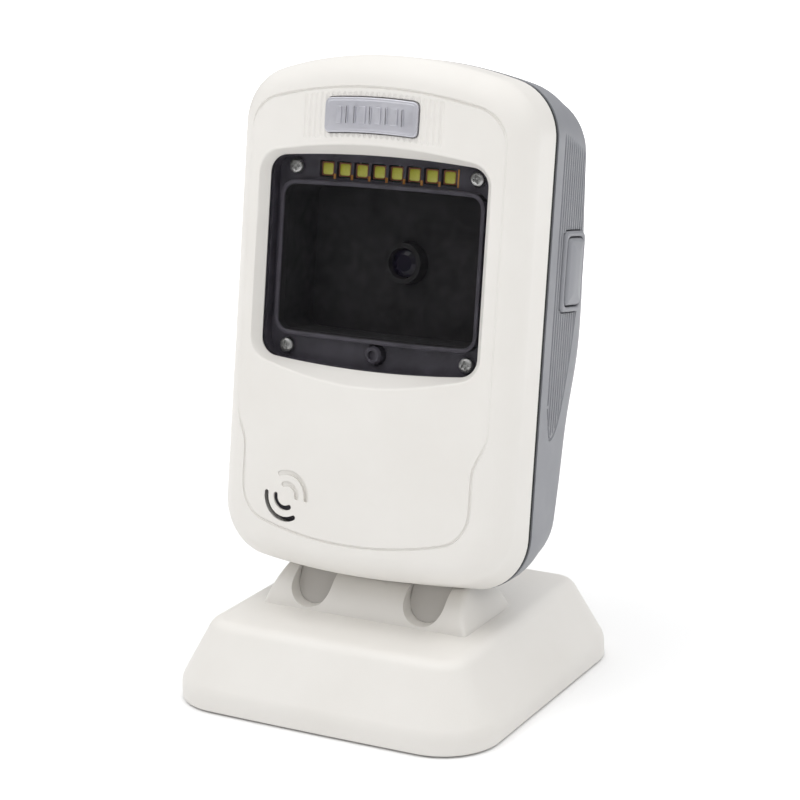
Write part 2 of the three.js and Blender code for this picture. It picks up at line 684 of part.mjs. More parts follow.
function waveWasher(side) {
  const inner = side * (LUG.x + LUG.width / 2 + GAP);
  const outer = inner + side * 0.6;
  const ends = [Math.min(inner, outer), Math.max(inner, outer)];
  return rod('x', 4.5, ends, [DRUM.y, DRUM.z])
    .subtract(rod('x', PIN_RADIUS + GAP, [ends[0] - 1, ends[1] + 1], [DRUM.y, DRUM.z]));
}

// ---------------------------------------------------------------- stand

// A block with an upright rim, steep sides and a soft-edged flat top.
function baseForm(inset, under) {
  const rings = [[under, 0], [4.6, 0], [5.6, 0.35], [17.9, 7.2], [19.4, 8.4], [PLATEAU, 10.4]];
  return loft(rings.map(([z, step], i) =>
    level(outline(BASE, inset + step, { corner: 5, bow: 1, side: 1 }), i === 0 ? z : z - inset)));
}

// The saddle: a drum that lies across the stand, with ends that lean in.
function drum(radius, shorten) {
  const count = 40;
  const end = (side) => Array.from({ length: count }, (_, i) => {
    const turn = (2 * Math.PI * i) / count;
    const [y, z] = [DRUM.y + radius * Math.cos(turn), DRUM.z + radius * Math.sin(turn)];
    return [side * (DRUM.halfLength - shorten - DRUM.taper * (z - PLATEAU)), y, z];
  });
  return loft([end(-1), end(1)]);
}

// The two U-shaped notches that the lugs stand in, open at the front and over the top.
function notches() {
  const half = NOTCH.width / 2;
  return union(bothSides((side) => {
    const x = side * LUG.x;
    const centre = NOTCH.floor + half;
    const front = rod('y', half, [-20, DRUM.y], [x, centre], 20)
      .add(block([x - half, x + half], [-20, DRUM.y], [centre, 34]));
    return front.add(block([x - half, x + half], [DRUM.y, 9], [NOTCH.rear, 34]));
  }));
}

function baseShell() {
  const hollow = baseForm(WALL, -1);
  const upperDrum = drum(DRUM.radius, 0).intersect(block([-30, 30], [-20, 10], [PLATEAU - 3, 34]));
  const room = rod('x', DRUM.radius - DRUM.wall, [-25.4, 25.4], [DRUM.y, DRUM.z], 32);
  const lowRoom = block([-25.4, 25.4], [DRUM.y - 9.6, DRUM.y + 9.6], [8, DRUM.z]);
  const ribs = [-23.4, -8.6, 8.6, 23.4].map((x) =>
    block([x - 1.3, x + 1.3], [DRUM.y - 10.5, DRUM.y + 10.5], [11, DRUM.z])
      .add(rod('x', DRUM.radius - 1, [x - 1.3, x + 1.3], [DRUM.y, DRUM.z], 24)
        .intersect(block([-30, 30], [-20, 10], [DRUM.z - 0.1, 30]))));
  const posts = screwCorners().map((place) => rod('z', 3.4, [FLOOR.top + GAP, 18.6], place, 12));
  const bores = [
    rod('x', PIN_RADIUS + GAP, [-25.4, 25.4], [DRUM.y, DRUM.z]),
    ...screwCorners().map((place) => rod('z', 1.7, [2, 15], place, 8)),
  ];
  return baseForm(0, BASE_UNDERSIDE)
    .subtract(hollow)
    .add(upperDrum)
    .subtract(room.add(lowRoom))
    .add(union([...ribs, ...posts]))
    .subtract(notches())
    .subtract(union(bores));
}

function screwCorners() {
  return [[-1, -1], [1, -1], [1, 1], [-1, 1]].map(([a, b]) => [a * BASE_SCREW.x, b * BASE_SCREW.y]);
}

function footPlaces() {
  return [[-1, -1], [1, -1], [1, 1], [-1, 1]].map(([a, b]) => [a * FOOT.x, b * FOOT.y]);
}

function baseFloor() {
  const points = outline(BASE, WALL + GAP, { corner: 5, bow: 1, side: 1 });
  const plate = loft([level(points, FLOOR.under), level(points, FLOOR.top)]);
  const pockets = footPlaces().map((place) => rod('z', FOOT.radius + GAP, [0, FOOT.top + GAP], place));
  const sinks = screwCorners().flatMap((place) => [
    rod('z', 3.1, [0, 2.2], place, 12),
    rod('z', 1.7, [0, 4], place, 8),
  ]);
  return plate.subtract(union([...pockets, ...sinks]));
}

const ballastPlate = () => block([-21, 21], [-22, 30], [FLOOR.top + GAP, 7.2]);

const foot = (place) => rod('z', FOOT.radius, [0, FOOT.top], place, 24);

function baseScrew([x, y]) {
  const head = rod('z', 2.7, [0.9, 1.9], [x, y], 12);
  const slot = block([x - 1.7, x + 1.7], [y - 0.3, y + 0.3], [0, 1.4])
    .add(block([x - 0.3, x + 0.3], [y - 1.7, y + 1.7], [0, 1.4]));
  return head.add(rod('z', 1.35, [1.8, 13], [x, y], 8)).subtract(slot);
}

// ---------------------------------------------------------------- assembly

function put(parent, name, shape, material) {
  const mesh = new THREE.Mesh(toGeometry(shape), material);
  mesh.name = name;
  parent.add(mesh);
}

const putEach = (parent, name, places, make, material) =>
  places.forEach((place, i) => put(parent, `${name}_${i + 1}`, make(place), material));

const scanner = new THREE.Group();

const stand = new THREE.Group();
put(stand, 'base_shell', baseShell(), WHITE);
put(stand, 'base_floor', baseFloor(), WHITE);
put(stand, 'ballast_plate', ballastPlate(), STEEL);
putEach(stand, 'foot', footPlaces(), foot, RUBBER);
putEach(stand, 'base_screw', screwCorners(), baseScrew, STEEL);
put(stand, 'pivot_pin', pivotPin(), STEEL);
putEach(stand, 'wave_washer', [-1, 1], waveWasher, STEEL);
scanner.add(stand);

const tilting = new THREE.Group();
tilting.position.set(0, DRUM.y, DRUM.z);
tilting.rotation.x = -LEAN;
const head = new THREE.Group();
head.position.set(0, -PIVOT.back, -PIVOT.up);
tilting.add(head);
scanner.add(tilting);

put(head, 'tilt_bracket', tiltBracket(), WHITE);
putEach(head, 'bracket_screw', bracketScrewPlaces(), bracketScrew, STEEL);
put(head, 'front_shell', frontShell(), WHITE);
put(head, 'window', windowPane(), PANE_TINT);
put(head, 'name_plate', namePlate(), SILVER);
put(head, 'optics_tray', opticsTray(), TRAY_BLACK);
putEach(head, 'tray_screw', trayScrewPlaces(), trayScrew, STEEL);
putEach(head, 'led', ledCentres(), led, PHOSPHOR);
put(head, 'led_board', ledBoard(), BOARD);
put(head, 'proximity_sensor', proximitySensor(), BLACK);
put(head, 'chassis', chassis(), BLACK);
put(head, 'lens_barrel', lensBarrel(), BLACK);
put(head, 'lens_glass', lensGlass(), GLASS);
put(head, 'imager_board', imagerBoard(), BOARD);
put(head, 'main_board', mainBoard(), BOARD);
put(head, 'processor_chip', processorChip(), BLACK);
put(head, 'flex_cable', flexCable(), FILM);
put(head, 'beeper', beeper(), BLACK);
put(head, 'seal_ring', sealRing(), BLACK);
put(head, 'rear_shell', rearShell(), GREY);
putEach(head, 'rear_screw', REAR_SCREWS, rearScrew, STEEL);
put(head, 'data_port', dataPort(), STEEL);
put(head, 'port_board', portBoard(), BOARD);
put(head, 'button_frame', buttonFrame(), GREY);
put(head, 'side_button', sideButton(), GREY);
put(head, 'switch_board', switchBoard(), BOARD);
put(head, 'tact_switch', tactSwitch(), BLACK);

export default scanner;
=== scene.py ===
"""A hands-free barcode scanner: the fine surfaces, the materials, the lights and the camera."""

import json
import math

import bmesh
import bpy
import numpy as np
from mathutils import Matrix, Vector


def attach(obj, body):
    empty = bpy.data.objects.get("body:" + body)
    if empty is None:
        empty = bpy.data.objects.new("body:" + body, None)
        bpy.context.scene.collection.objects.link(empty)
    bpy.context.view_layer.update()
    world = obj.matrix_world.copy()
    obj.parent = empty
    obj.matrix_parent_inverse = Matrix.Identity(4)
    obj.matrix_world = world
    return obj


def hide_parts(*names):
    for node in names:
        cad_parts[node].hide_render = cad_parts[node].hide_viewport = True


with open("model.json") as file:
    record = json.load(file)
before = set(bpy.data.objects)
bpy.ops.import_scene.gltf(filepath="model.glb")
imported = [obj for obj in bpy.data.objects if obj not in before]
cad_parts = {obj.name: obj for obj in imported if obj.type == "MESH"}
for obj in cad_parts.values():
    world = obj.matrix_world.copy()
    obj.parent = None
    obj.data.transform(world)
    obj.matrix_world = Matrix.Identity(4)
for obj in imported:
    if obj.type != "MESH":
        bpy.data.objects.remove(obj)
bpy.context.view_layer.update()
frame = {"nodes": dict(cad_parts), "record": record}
NODES = frame["nodes"]

# ------------------------------------------------------------------ dimensions, in millimetres

MM = 0.001
LEAN = math.radians(9.11)
DRUM = {"y": -5.3, "z": 17.3, "radius": 12.7, "half": 28.1, "taper": 0.37}
PIVOT = (20.1, -1.5)  # the saddle's axis in the head's own frame
CLEARANCE = 0.5

HEAD = dict(half=39, bottom=8, top=134.85, low_arc=260, top_arc=105, corner=14)
FACE = dict(HEAD, bottom=10.5)  # the front half rises towards the face
CROWN = (2.8, 34)
FRONT_ROUND = 7
REAR_ROUND = 8
SEAM = (16, 17.5)
REAR_DEEPEST = 44.6
REAR_DEPTH = REAR_DEEPEST - SEAM[1]
REAR_FLAT = REAR_DEPTH - REAR_ROUND
REAR_NARROWS = 0.5  # how far each side draws in towards the back
REAR_DROPS = 3  # and how far the top and the bottom do
WALL = 2
SCREW_HOLE = 1.7

APERTURE = dict(half=29.1, bottom=60.4, top=111.2, low_arc=262, top_arc=288, corner=4.5)
REVEAL = dict(half=33, bottom=56.7, top=113.8, low_arc=111, top_arc=200, corner=7)
APERTURE_DEPTH = 2
REVEAL_DEPTH = -3
LIP_ROUND = 0.5
CHAMBER = (26.5, 67.6, 103.6)
LED = {"count": 8, "pitch": 4.7, "z": 107.3}
TRAY_SCREWS = [(x, z) for x in (-24.45, 24.45) for z in (107.5, 64)]
LENS = 85.6
SENSOR = 64

SOUND = (-18, 28.2)
PLATE = dict(half=12.3, bottom=116.5, top=124.7, low_arc=3000, top_arc=3000, corner=1.4)
PLATE_ARCH = 145
PLATE_STEPS = (6, 40, 4)
FACE_LINE = dict(half=34, bottom=18.8, top=127.1, low_arc=120, top_arc=115, corner=9)
FACE_LINE_NARROWS = 0.094  # the share by which it narrows below the window
BUTTON = {"y": 30.2, "z": 86.6, "width": 8.4, "height": 16.2, "face": 40.4}
BUTTON_FRAME = {"width": 11.6, "height": 19.4, "face": 39.5}
GRIP = {"first": 21.6, "pitch": 1.35, "count": 12, "last": 37.6, "tip": 24, "low": 46.8}
GRIP_TOP = {"flutes": 121, "fall": 0.35, "edge": 114}
PORT = {"z": 30, "half": 4.5, "high": 1.6}
REAR_SCREWS = [(-15, 118.5), (15, 118.5), (-30, 27), (30, 27)]
LUG = {"x": 15.6, "width": 10.6, "radius": 9.4, "front": 14, "back": 26}
BRACKET_HOLES = [(x, 22) for x in (-4.5, 4.5)]
PIN_BORE = 2.3

BASE = dict(half=42.5, bottom=-43.5, top=43.5, low_arc=2000, top_arc=2000, corner=14.4)
PLATEAU = 20.1
NOTCH = {"width": 11, "floor": 20.7, "rear": 21.2}
BASE_POSTS = [(x, y) for x in (-27, 27) for y in (-25, 25)]
BASE_STEPS = (16, 24, 24)
DRUM_ROOM = 25.4  # half the width of the hollow inside the saddle

HEAD_FRAME = (
    Matrix.Translation((0, DRUM["y"], DRUM["z"]))
    @ Matrix.Rotation(-LEAN, 4, "X")
    @ Matrix.Translation((0, -PIVOT[0], -PIVOT[1]))
)
STAND_FRAME = Matrix.Identity(4)

FINE = (12, 80, 40)  # points along each corner, bow and side of an outline
SMALL = (8, 6, 3)


# ------------------------------------------------------------------ meshes

def add(name, data):
    obj = bpy.data.objects.new(name, data)
    bpy.context.scene.collection.objects.link(obj)
    return obj


def new_object(name, points, faces):
    mesh = bpy.data.meshes.new(name)
    mesh.from_pydata([tuple(map(float, p)) for p in points], [], faces)
    bm = bmesh.new()
    bm.from_mesh(mesh)
    bmesh.ops.recalc_face_normals(bm, faces=bm.faces)
    if bm.calc_volume(signed=True) < 0:
        bmesh.ops.reverse_faces(bm, faces=bm.faces)
    bm.to_mesh(mesh)
    bm.free()
    return add(name, mesh)


def outline(shape, inset=0.0, steps=FINE):
    """A four-sided outline with bowed top and bottom and round corners, as (across, up) points."""
    corner_steps, bow_steps, side_steps = steps
    half = shape["half"] - inset
    rounding = max(shape["corner"] - inset, 0.3)
    upper, lower = shape["top_arc"] - inset, shape["low_arc"] - inset
    upper_centre = shape["top"] - shape["top_arc"]
    lower_centre = shape["bottom"] + shape["low_arc"]
    reach = half - rounding
    top_z = upper_centre + math.sqrt((upper - rounding) ** 2 - reach**2)
    low_z = lower_centre - math.sqrt((lower - rounding) ** 2 - reach**2)
    top_turn = math.atan2(top_z - upper_centre, reach)
    low_turn = math.atan2(lower_centre - low_z, reach)
    points = []

    def arc(x, z, radius, start, end, count):
        for i in range(count):
            turn = start + (end - start) * i / count
            points.append((x + radius * math.cos(turn), z + radius * math.sin(turn)))

    def side(x, start, end):
        points.extend((x, start + (end - start) * i / side_steps) for i in range(side_steps))

    arc(reach, top_z, rounding, 0, top_turn, corner_steps)
    arc(0, upper_centre, upper, top_turn, math.pi - top_turn, bow_steps)
    arc(-reach, top_z, rounding, math.pi - top_turn, math.pi, corner_steps)
    side(-half, top_z, low_z)
    arc(-reach, low_z, rounding, math.pi, math.pi + low_turn, corner_steps)
    arc(0, lower_centre, lower, math.pi + low_turn, 2 * math.pi - low_turn, bow_steps)
    arc(reach, low_z, rounding, -low_turn, 0, corner_steps)
    side(half, low_z, top_z)
    return np.array(points)


def upright(points, y):
    """Outline points stood up in the head's frame, at one depth or at a depth for each point."""
    points = np.asarray(points)
    return np.column_stack([points[:, 0], np.broadcast_to(y, len(points)), points[:, 1]])


def level(points, z):
    points = np.asarray(points)
    return np.column_stack([points, np.broadcast_to(z, len(points))])


def ring_faces(rings, count, closed=False):
    faces = []
    for ring in range(rings if closed else rings - 1):
        a, b = ring * count, ((ring + 1) % rings) * count
        faces += [(a + i, a + (i + 1) % count, b + (i + 1) % count, b + i) for i in range(count)]
    return faces


def strips_across(start, count):
    """Closes a fine outline with strips from left to right, so that depth may change with height."""
    apex = FINE[0] + FINE[1] // 2
    faces = []
    for k in range(count // 2):
        corners = (apex + k, apex + k + 1, apex - k - 1, apex - k)
        faces.append(tuple(dict.fromkeys(start + c % count for c in corners)))
    return [face for face in faces if len(face) > 2]


def loft(name, rings, closed=False, caps=(None, None)):
    """Joins rings of points. An open loft is capped by a polygon, or by given faces."""
    count = len(rings[0])
    faces = ring_faces(len(rings), count, closed)
    if not closed:
        first, last = 0, (len(rings) - 1) * count
        faces += caps[0] or [tuple(range(first, first + count))]
        faces += caps[1] or [tuple(range(last, last + count))]
    return new_object(name, np.concatenate(rings), faces)


def slab(name, points, y0, y1):
    return loft(name, [upright(points, y0), upright(points, y1)])


def block(xs, ys, zs):
    corners = [(xs[0], ys[0]), (xs[1], ys[0]), (xs[1], ys[1]), (xs[0], ys[1])]
    return loft("block", [level(corners, zs[0]), level(corners, zs[1])])


AXES = {"x": (1, 2, 0), "y": (0, 2, 1), "z": (0, 1, 2)}


def lathe(axis, profile, centre, count, closed=False):
    """A turned piece. The profile lists (radius, place along the axis); centre is across it."""
    a, b, along = AXES[axis]
    turn = np.arange(count) * 2 * math.pi / count
    rings = []
    for radius, place_along in profile:
        ring = np.empty((count, 3))
        ring[:, a] = centre[0] + radius * np.cos(turn)
        ring[:, b] = centre[1] + radius * np.sin(turn)
        ring[:, along] = place_along
        rings.append(ring)
    return loft("turned", rings, closed)


def rod(axis, radius, ends, centre, count=48):
    return lathe(axis, [(radius, ends[0]), (radius, ends[1])], centre, count)


def sweep(path, radius, closed=False, count=10):
    """A round bar along a path of points, with pointed ends when open."""
    path = np.asarray(path, float)
    if closed:
        tangent = np.roll(path, -1, 0) - np.roll(path, 1, 0)
    else:
        tangent = np.gradient(path, axis=0)
    tangent /= np.linalg.norm(tangent, axis=1)[:, None]
    guide = np.array([0.31, 0.9, 0.3]) if abs(tangent[:, 1]).max() < 0.9 else np.array([1, 0.1, 0.2])
    side = np.cross(tangent, guide)
    side /= np.linalg.norm(side, axis=1)[:, None]
    up = np.cross(side, tangent)
    turn = np.arange(count) * 2 * math.pi / count
    rings = [
        p + radius * (np.cos(turn)[:, None] * s + np.sin(turn)[:, None] * u)
        for p, s, u in zip(path, side, up)
    ]

    def tip(end, nearest):
        middle = path[end]
        away = (middle - path[nearest]) / np.linalg.norm(middle - path[nearest])
        return [middle + away * radius * k + (rings[end] - middle) * w for k, w in ((0.6, 0.8), (0.95, 0.3))]

    if not closed:
        rings = tip(0, 1)[::-1] + rings + tip(-1, -2)
    return loft("bar", rings, closed)


def boolean(target, tools, operation="DIFFERENCE"):
    """Cuts the tools from the target, or joins them to it, and removes them."""
    for tool in tools:
        modifier = target.modifiers.new("join", "BOOLEAN")
        modifier.operation = operation
        modifier.solver = "MANIFOLD"
        modifier.object = tool
    bpy.context.view_layer.update()
    evaluated = target.evaluated_get(bpy.context.evaluated_depsgraph_get())
    mesh = bpy.data.meshes.new_from_object(evaluated)
    target.modifiers.clear()
    target.data = mesh
    for tool in tools:
        bpy.data.objects.remove(tool)
    return target


def tidy_slivers(obj, size=0.004):
    """Removes the needle-thin faces that cutting leaves on broad flat ones."""
    bm = bmesh.new()
    bm.from_mesh(obj.data)
    bmesh.ops.dissolve_degenerate(bm, dist=size, edges=bm.edges)
    bmesh.ops.dissolve_limit(bm, angle_limit=math.radians(0.3), verts=bm.verts, edges=bm.edges)
    bmesh.ops.triangulate(bm, faces=[f for f in bm.faces if len(f.verts) > 4], ngon_method="BEAUTY")
    bm.to_mesh(obj.data)
    bm.free()
    return obj


def cut(target, *tools):
    return boolean(target, tools)


def join(target, *tools):
    return boolean(target, tools, "UNION")


def gather(name, objects):
    """One mesh of several closed ones that stay apart or sit in each other."""
    bm = bmesh.new()
    for obj in objects:
        bm.from_mesh(obj.data)
    mesh = bpy.data.meshes.new(name)
    bm.to_mesh(mesh)
    bm.free()
    for obj in objects:
        bpy.data.objects.remove(obj)
    return add(name, mesh)


def round_edges(obj, width, segments, angle):
    modifier = obj.modifiers.new("round", "BEVEL")
    modifier.width = width
    modifier.segments = segments
    modifier.limit_method = "ANGLE"
    modifier.angle_limit = math.radians(angle)


def shade(obj, angle, bevel):
    """Smooth faces with sharp edges kept, and a rounded edge where one is asked for."""
    mesh = obj.data
    mesh.shade_smooth()
    mesh.set_sharp_from_angle(angle=math.radians(angle))
    if bevel:
        round_edges(obj, bevel * MM, 3, 38)
    weighted = obj.modifiers.new("normals", "WEIGHTED_NORMAL")
    weighted.keep_sharp = True


def place(obj, name, body, slot, material, nodes, frame_matrix=HEAD_FRAME, bevel=None, angle=32):
    """Finishes a piece built in millimetres: its place, body, material and shading. The slot argument is not
    used.
    """
    obj.name = name
    obj.data.transform(frame_matrix)
    obj.data.transform(Matrix.Scale(MM, 4))
    obj.data.materials.clear()
    for one in material if isinstance(material, list) else [material]:
        obj.data.materials.append(one)
    shade(obj, angle, bevel)
    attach(obj, body)
    if nodes:
        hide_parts(*nodes)
    return obj


# ------------------------------------------------------------------ the head's outer form

def crown(x):
    rise, half = CROWN
    return -rise * (1 - (np.asarray(x) / half) ** 2)


def smooth_curve(knots, values):
    """A smooth curve through points, as a function."""
    t, v = np.array(knots, float), np.array(values, float)
    secant = np.diff(v) / np.diff(t)
    slope = np.concatenate([secant[:1], (secant[1:] + secant[:-1]) / 2, secant[-1:]])

    def at(x):
        x = np.asarray(x, float)
        i = np.clip(np.searchsorted(t, x) - 1, 0, len(t) - 2)
        span = t[i + 1] - t[i]
        p = (x - t[i]) / span
        rise = v[i] * (1 + 2 * p) * (1 - p) ** 2 + v[i + 1] * p * p * (3 - 2 * p)
        return rise + span * (slope[i] * p * (1 - p) ** 2 - slope[i + 1] * p * p * (1 - p))

    return at


# The rear's depth by height, then how far its sides and ends draw in by the share of the way back.
depth_at = smooth_curve(
    [6, 20, 36, 50, 66, 76, 100, 120, 135],
    [32.8, 34.3, 37.2, 39.4, 44, REAR_DEEPEST, 42, 39.8, 38.6],
)
side_at = smooth_curve([0, 0.28, 0.57, 1], [0, 0.05, 0.2, REAR_NARROWS])
drop_at = smooth_curve([0, 0.28, 0.57, 1], [0, 0.3, 0.8, REAR_DROPS])


def quarter(steps):
    return [math.pi / 2 * i / steps for i in range(steps + 1)]


def blend_rings(a, b, shares):
    return [a + (b - a) * s for s in shares]


def eased_corner(before, corner, after, radius, steps=5):
    """Rings that round the edge where two surfaces meet, from one ring's side to the other's."""
    def toward(other):
        away = other - corner
        return corner + away / np.linalg.norm(away, axis=1)[:, None] * radius

    start, end = toward(before), toward(after)
    return [
        (1 - t) ** 2 * start + 2 * t * (1 - t) * corner + t * t * end
        for t in np.linspace(0, 1, steps)
    ]


def reveal_edge():
    """Where the face runs into the slope round the window."""
    outer, inner = outline(REVEAL), outline(APERTURE)
    share = np.zeros(len(outer))
    run = APERTURE_DEPTH - REVEAL_DEPTH
    for _ in range(30):
        x = outer[:, 0] + (inner[:, 0] - outer[:, 0]) * share
        share = (crown(x) - REVEAL_DEPTH) / run
    points = outer + (inner - outer) * share[:, None]
    return upright(points, crown(points[:, 0]))


def face_ring(inset):
    points = outline(FACE, inset)
    return upright(points, crown(points[:, 0]))


def front_rings():
    """The front shell's section, ring by ring: round the edge, over the face and back inside."""
    rings = []
    edge = outline(FACE)
    start, end = upright(outline(HEAD), SEAM[0]), upright(edge, crown(edge[:, 0]) + FRONT_ROUND)
    rings += [upright(outline(HEAD, 0.35), SEAM[0]), upright(outline(HEAD, 0.1), SEAM[0] - 0.1)]
    rings += blend_rings(start, end, (0.05, 0.35, 0.7))
    for turn in quarter(12):
        points = outline(FACE, FRONT_ROUND * (1 - math.cos(turn)))
        rings.append(upright(points, crown(points[:, 0]) + FRONT_ROUND * (1 - math.sin(turn))))
    face_edge, lip = face_ring(FRONT_ROUND), reveal_edge()
    away = face_edge - lip
    short = lip + away / np.linalg.norm(away, axis=1)[:, None] * LIP_ROUND
    for share in np.linspace(0, 1, 26)[1:-1]:
        ring = face_edge + (short - face_edge) * share
        ring[:, 1] = crown(ring[:, 0])
        rings.append(ring)
    aperture = upright(outline(APERTURE), APERTURE_DEPTH)
    pocket = outline(APERTURE, -1.5)
    short[:, 1] = crown(short[:, 0])
    rings += eased_corner(short, lip, aperture, LIP_ROUND)
    rings += blend_rings(lip, aperture, (0.3, 0.6, 0.85))
    rings += eased_corner(lip, aperture, upright(pocket, APERTURE_DEPTH), 0.12, 3)
    collar = outline(APERTURE, -3.4)
    rings += [upright(pocket, APERTURE_DEPTH), upright(pocket, 6), upright(collar, 6)]
    inner = upright(collar, crown(collar[:, 0]) + WALL)
    inner_edge = outline(FACE, FRONT_ROUND)
    outer = upright(inner_edge, crown(inner_edge[:, 0]) + WALL)
    for share in np.linspace(0, 1, 7)[:-1]:
        ring = inner + (outer - inner) * share
        ring[:, 1] = crown(ring[:, 0]) + WALL
        rings.append(ring)
    for turn in quarter(5)[::-1]:
        rounding = FRONT_ROUND - WALL
        points = outline(FACE, WALL + rounding * (1 - math.cos(turn)))
        rings.append(upright(points, crown(points[:, 0]) + WALL + rounding * (1 - math.sin(turn))))
    rings.append(upright(outline(HEAD, WALL), SEAM[0]))
    return rings


def seat_rod(radius, half):
    return rod("x", radius, (-half, half), PIVOT, 96)


def lug_slots():
    half = LUG["width"] / 2 + 0.5
    return [
        block((s * LUG["x"] - half, s * LUG["x"] + half), (LUG["front"] - 0.6, LUG["back"] + 0.6), (0, 17))
        for s in (-1, 1)
    ]


def seat_cuts():
    return [seat_rod(DRUM["radius"] + CLEARANCE, 27), *lug_slots()]


def face_line():
    """The moulded line round the face. Its sides step in between two heights."""
    low, high = 39, 49
    path = outline(FACE_LINE, 0, (10, 40, 60))
    t = np.clip((path[:, 1] - low) / (high - low), 0, 1)
    path[:, 0] *= 1 - FACE_LINE_NARROWS * (1 - t * t * (3 - 2 * t))
    return sweep(upright(path, crown(path[:, 0]) + 0.02), 0.34, closed=True)


def arch_sag(x):
    return np.asarray(x) ** 2 / (2 * PLATE_ARCH)


def arched(inset=0.0):
    """The name plate's outline, which arches over the window."""
    points = outline(PLATE, inset, PLATE_STEPS)
    points[:, 1] -= arch_sag(points[:, 0])
    return points


def flutes():
    """Soft flutes across the forehead; the name plate covers the middle ones but for their ends."""
    grooves = []
    radius, depth, pitch = 0.72, 0.25, 1.5
    for i in range(-12, 13):
        x = i * pitch
        y = float(crown(x)) - radius + depth
        ends = [z - float(arch_sag(x)) for z in (115.8, 116.4, 124.9, 125.5)]
        grooves.append(sweep([(x, y, z) for z in ends], radius, count=16))
    return gather("flutes", grooves)


def arc_slot(radius, start, end, y0, y1, half, shift=(0, 0)):
    """A slot bent round the sound mark's centre, with round ends, from one depth to another."""
    turns = np.radians(np.linspace(start, end, 20))
    swing = np.linspace(0, math.pi, 7)[1:-1]
    centre = (SOUND[0] + shift[0], SOUND[1] + shift[1])

    def arc(middle, size, angles):
        return [(middle[0] + size * math.cos(t), middle[1] + size * math.sin(t)) for t in angles]

    def round_end(turn, half_turn):
        return arc(arc(centre, radius, [turn])[0], half, turn + swing + half_turn)

    points = arc(centre, radius + half, turns) + round_end(turns[-1], 0)
    points += arc(centre, radius - half, turns[::-1]) + round_end(turns[0], math.pi)
    return slab("slot", points, y0, y1)


def sound_cuts():
    """Each arc goes right through at its lower left and is only sunk at its upper right."""
    surface = float(crown(SOUND[0]))
    cuts = []
    for radius in (5.5, 2.75):
        cuts.append(arc_slot(radius, 175, 300, -6, 3, 0.6))
        cuts.append(arc_slot(radius, -5, 115, -6, surface + 0.4, 0.62, (0.6, 0.5)))
    return cuts


def screw_post(place, radius, y0, y1):
    return rod("y", radius, (y0, y1), place, 32)


def front_shell(material):
    shell = loft("front", front_rings(), closed=True)
    form = loft("form", front_rings()[:17])
    liner = boolean(seat_rod(DRUM["radius"] + CLEARANCE + WALL, 30), [form], "INTERSECT")
    posts = [screw_post(p, 3.2, 1.5, SEAM[0] - 0.3) for p in REAR_SCREWS]
    wall = lathe("y", [(8, -0.4), (8, 5.5), (6.8, 5.5), (6.8, -0.4)], SOUND, 48, closed=True)
    shell = join(shell, liner, *posts, wall)
    plate = slab("pocket", arched(-0.25), -8, float(crown(0)) + 1.2)
    holes = [screw_post(p, SCREW_HOLE, 5, SEAM[0] + 1) for p in REAR_SCREWS]
    # The shell is thinner behind the sound slots.
    thinned = rod("y", 6.6, (float(crown(SOUND[0])) + 0.9, 3), SOUND)
    shell = cut(shell, *seat_cuts(), face_line(), flutes(), plate, thinned, *sound_cuts(), *holes)
    return place(shell, "front_housing", "head", "shell_white", material, ["front_shell"])


# ------------------------------------------------------------------ rear half of the head

def rear_ring(inset, back, side, drop, step):
    shape = dict(HEAD, half=HEAD["half"] - side, top=HEAD["top"] - drop, bottom=HEAD["bottom"] + drop)
    points = outline(shape, inset + step)
    return upright(points, SEAM[1] + back * (depth_at(points[:, 1]) - SEAM[1] - inset) / REAR_DEPTH)


def rear_half(inset, flat_steps, round_steps):
    rings = []
    for share in np.linspace(0, 1, flat_steps):
        rings.append(rear_ring(inset, share * REAR_FLAT, side_at(share), drop_at(share), 0))
    for turn in quarter(round_steps)[1:]:
        back, step = REAR_ROUND * math.sin(turn), REAR_ROUND * (1 - math.cos(turn))
        rings.append(rear_ring(inset, REAR_FLAT + back, REAR_NARROWS, REAR_DROPS, step))
    return rings


def rear_solid():
    rings = rear_half(0, 8, 5)
    count = len(rings[0])
    return loft("form", rings, caps=(None, strips_across((len(rings) - 1) * count, count)))


def rear_cup():
    """The rear shell before its openings: the outer surface and the inner one, joined at the seam."""
    rings = rear_half(WALL, 8, 5)[::-1] + rear_half(0, 18, 12)
    count = len(rings[0])
    return loft("rear", rings, caps=[strips_across(i * count, count) for i in (0, len(rings) - 1)])


def side_surface(y, z):
    """How far out the head's side is at a depth and height."""
    back = (y - SEAM[1]) * REAR_DEPTH / (depth_at(z) - SEAM[1])
    over = np.clip((back - REAR_FLAT) / REAR_ROUND, 0, 1)
    side = side_at(np.clip(back / REAR_FLAT, 0, 1))
    return HEAD["half"] - side - REAR_ROUND * (1 - np.sqrt(1 - over**2))


def grip_tip(y):
    """The lower end of the fluted panel: steep in front of its tip and sweeping up behind it."""
    y = np.asarray(y, float)
    before, behind = np.clip(GRIP["tip"] - y, 0, None), np.clip(y - GRIP["tip"], 0, None)
    return GRIP["low"] + 4.4 * (before / 1.7) ** 1.5 + 0.123 * behind**2.3


def grip_groove(side, ys, zs, radius, deep, fade=4.0):
    """A groove down the head's side that fades out at its upper end."""
    ys, zs = np.broadcast_arrays(np.asarray(ys, float), np.asarray(zs, float))
    lift = np.clip((zs - (zs.max() - fade)) / fade, 0, 1) ** 2 * (deep + 0.1)
    x = side * (side_surface(ys, zs) + radius - deep + lift)
    return sweep(np.column_stack([x, ys, zs]), radius)


def grip_flutes():
    grooves = []
    for side in (-1, 1):
        for i in range(GRIP["count"]):
            y = GRIP["first"] + GRIP["pitch"] * i
            top = GRIP_TOP["flutes"] - GRIP_TOP["fall"] * (y - GRIP["first"])
            zs = np.linspace(float(grip_tip(y)) + 1, top, 40)
            grooves.append(grip_groove(side, y, zs, 0.45, 0.42))
    return gather("flutes", grooves)


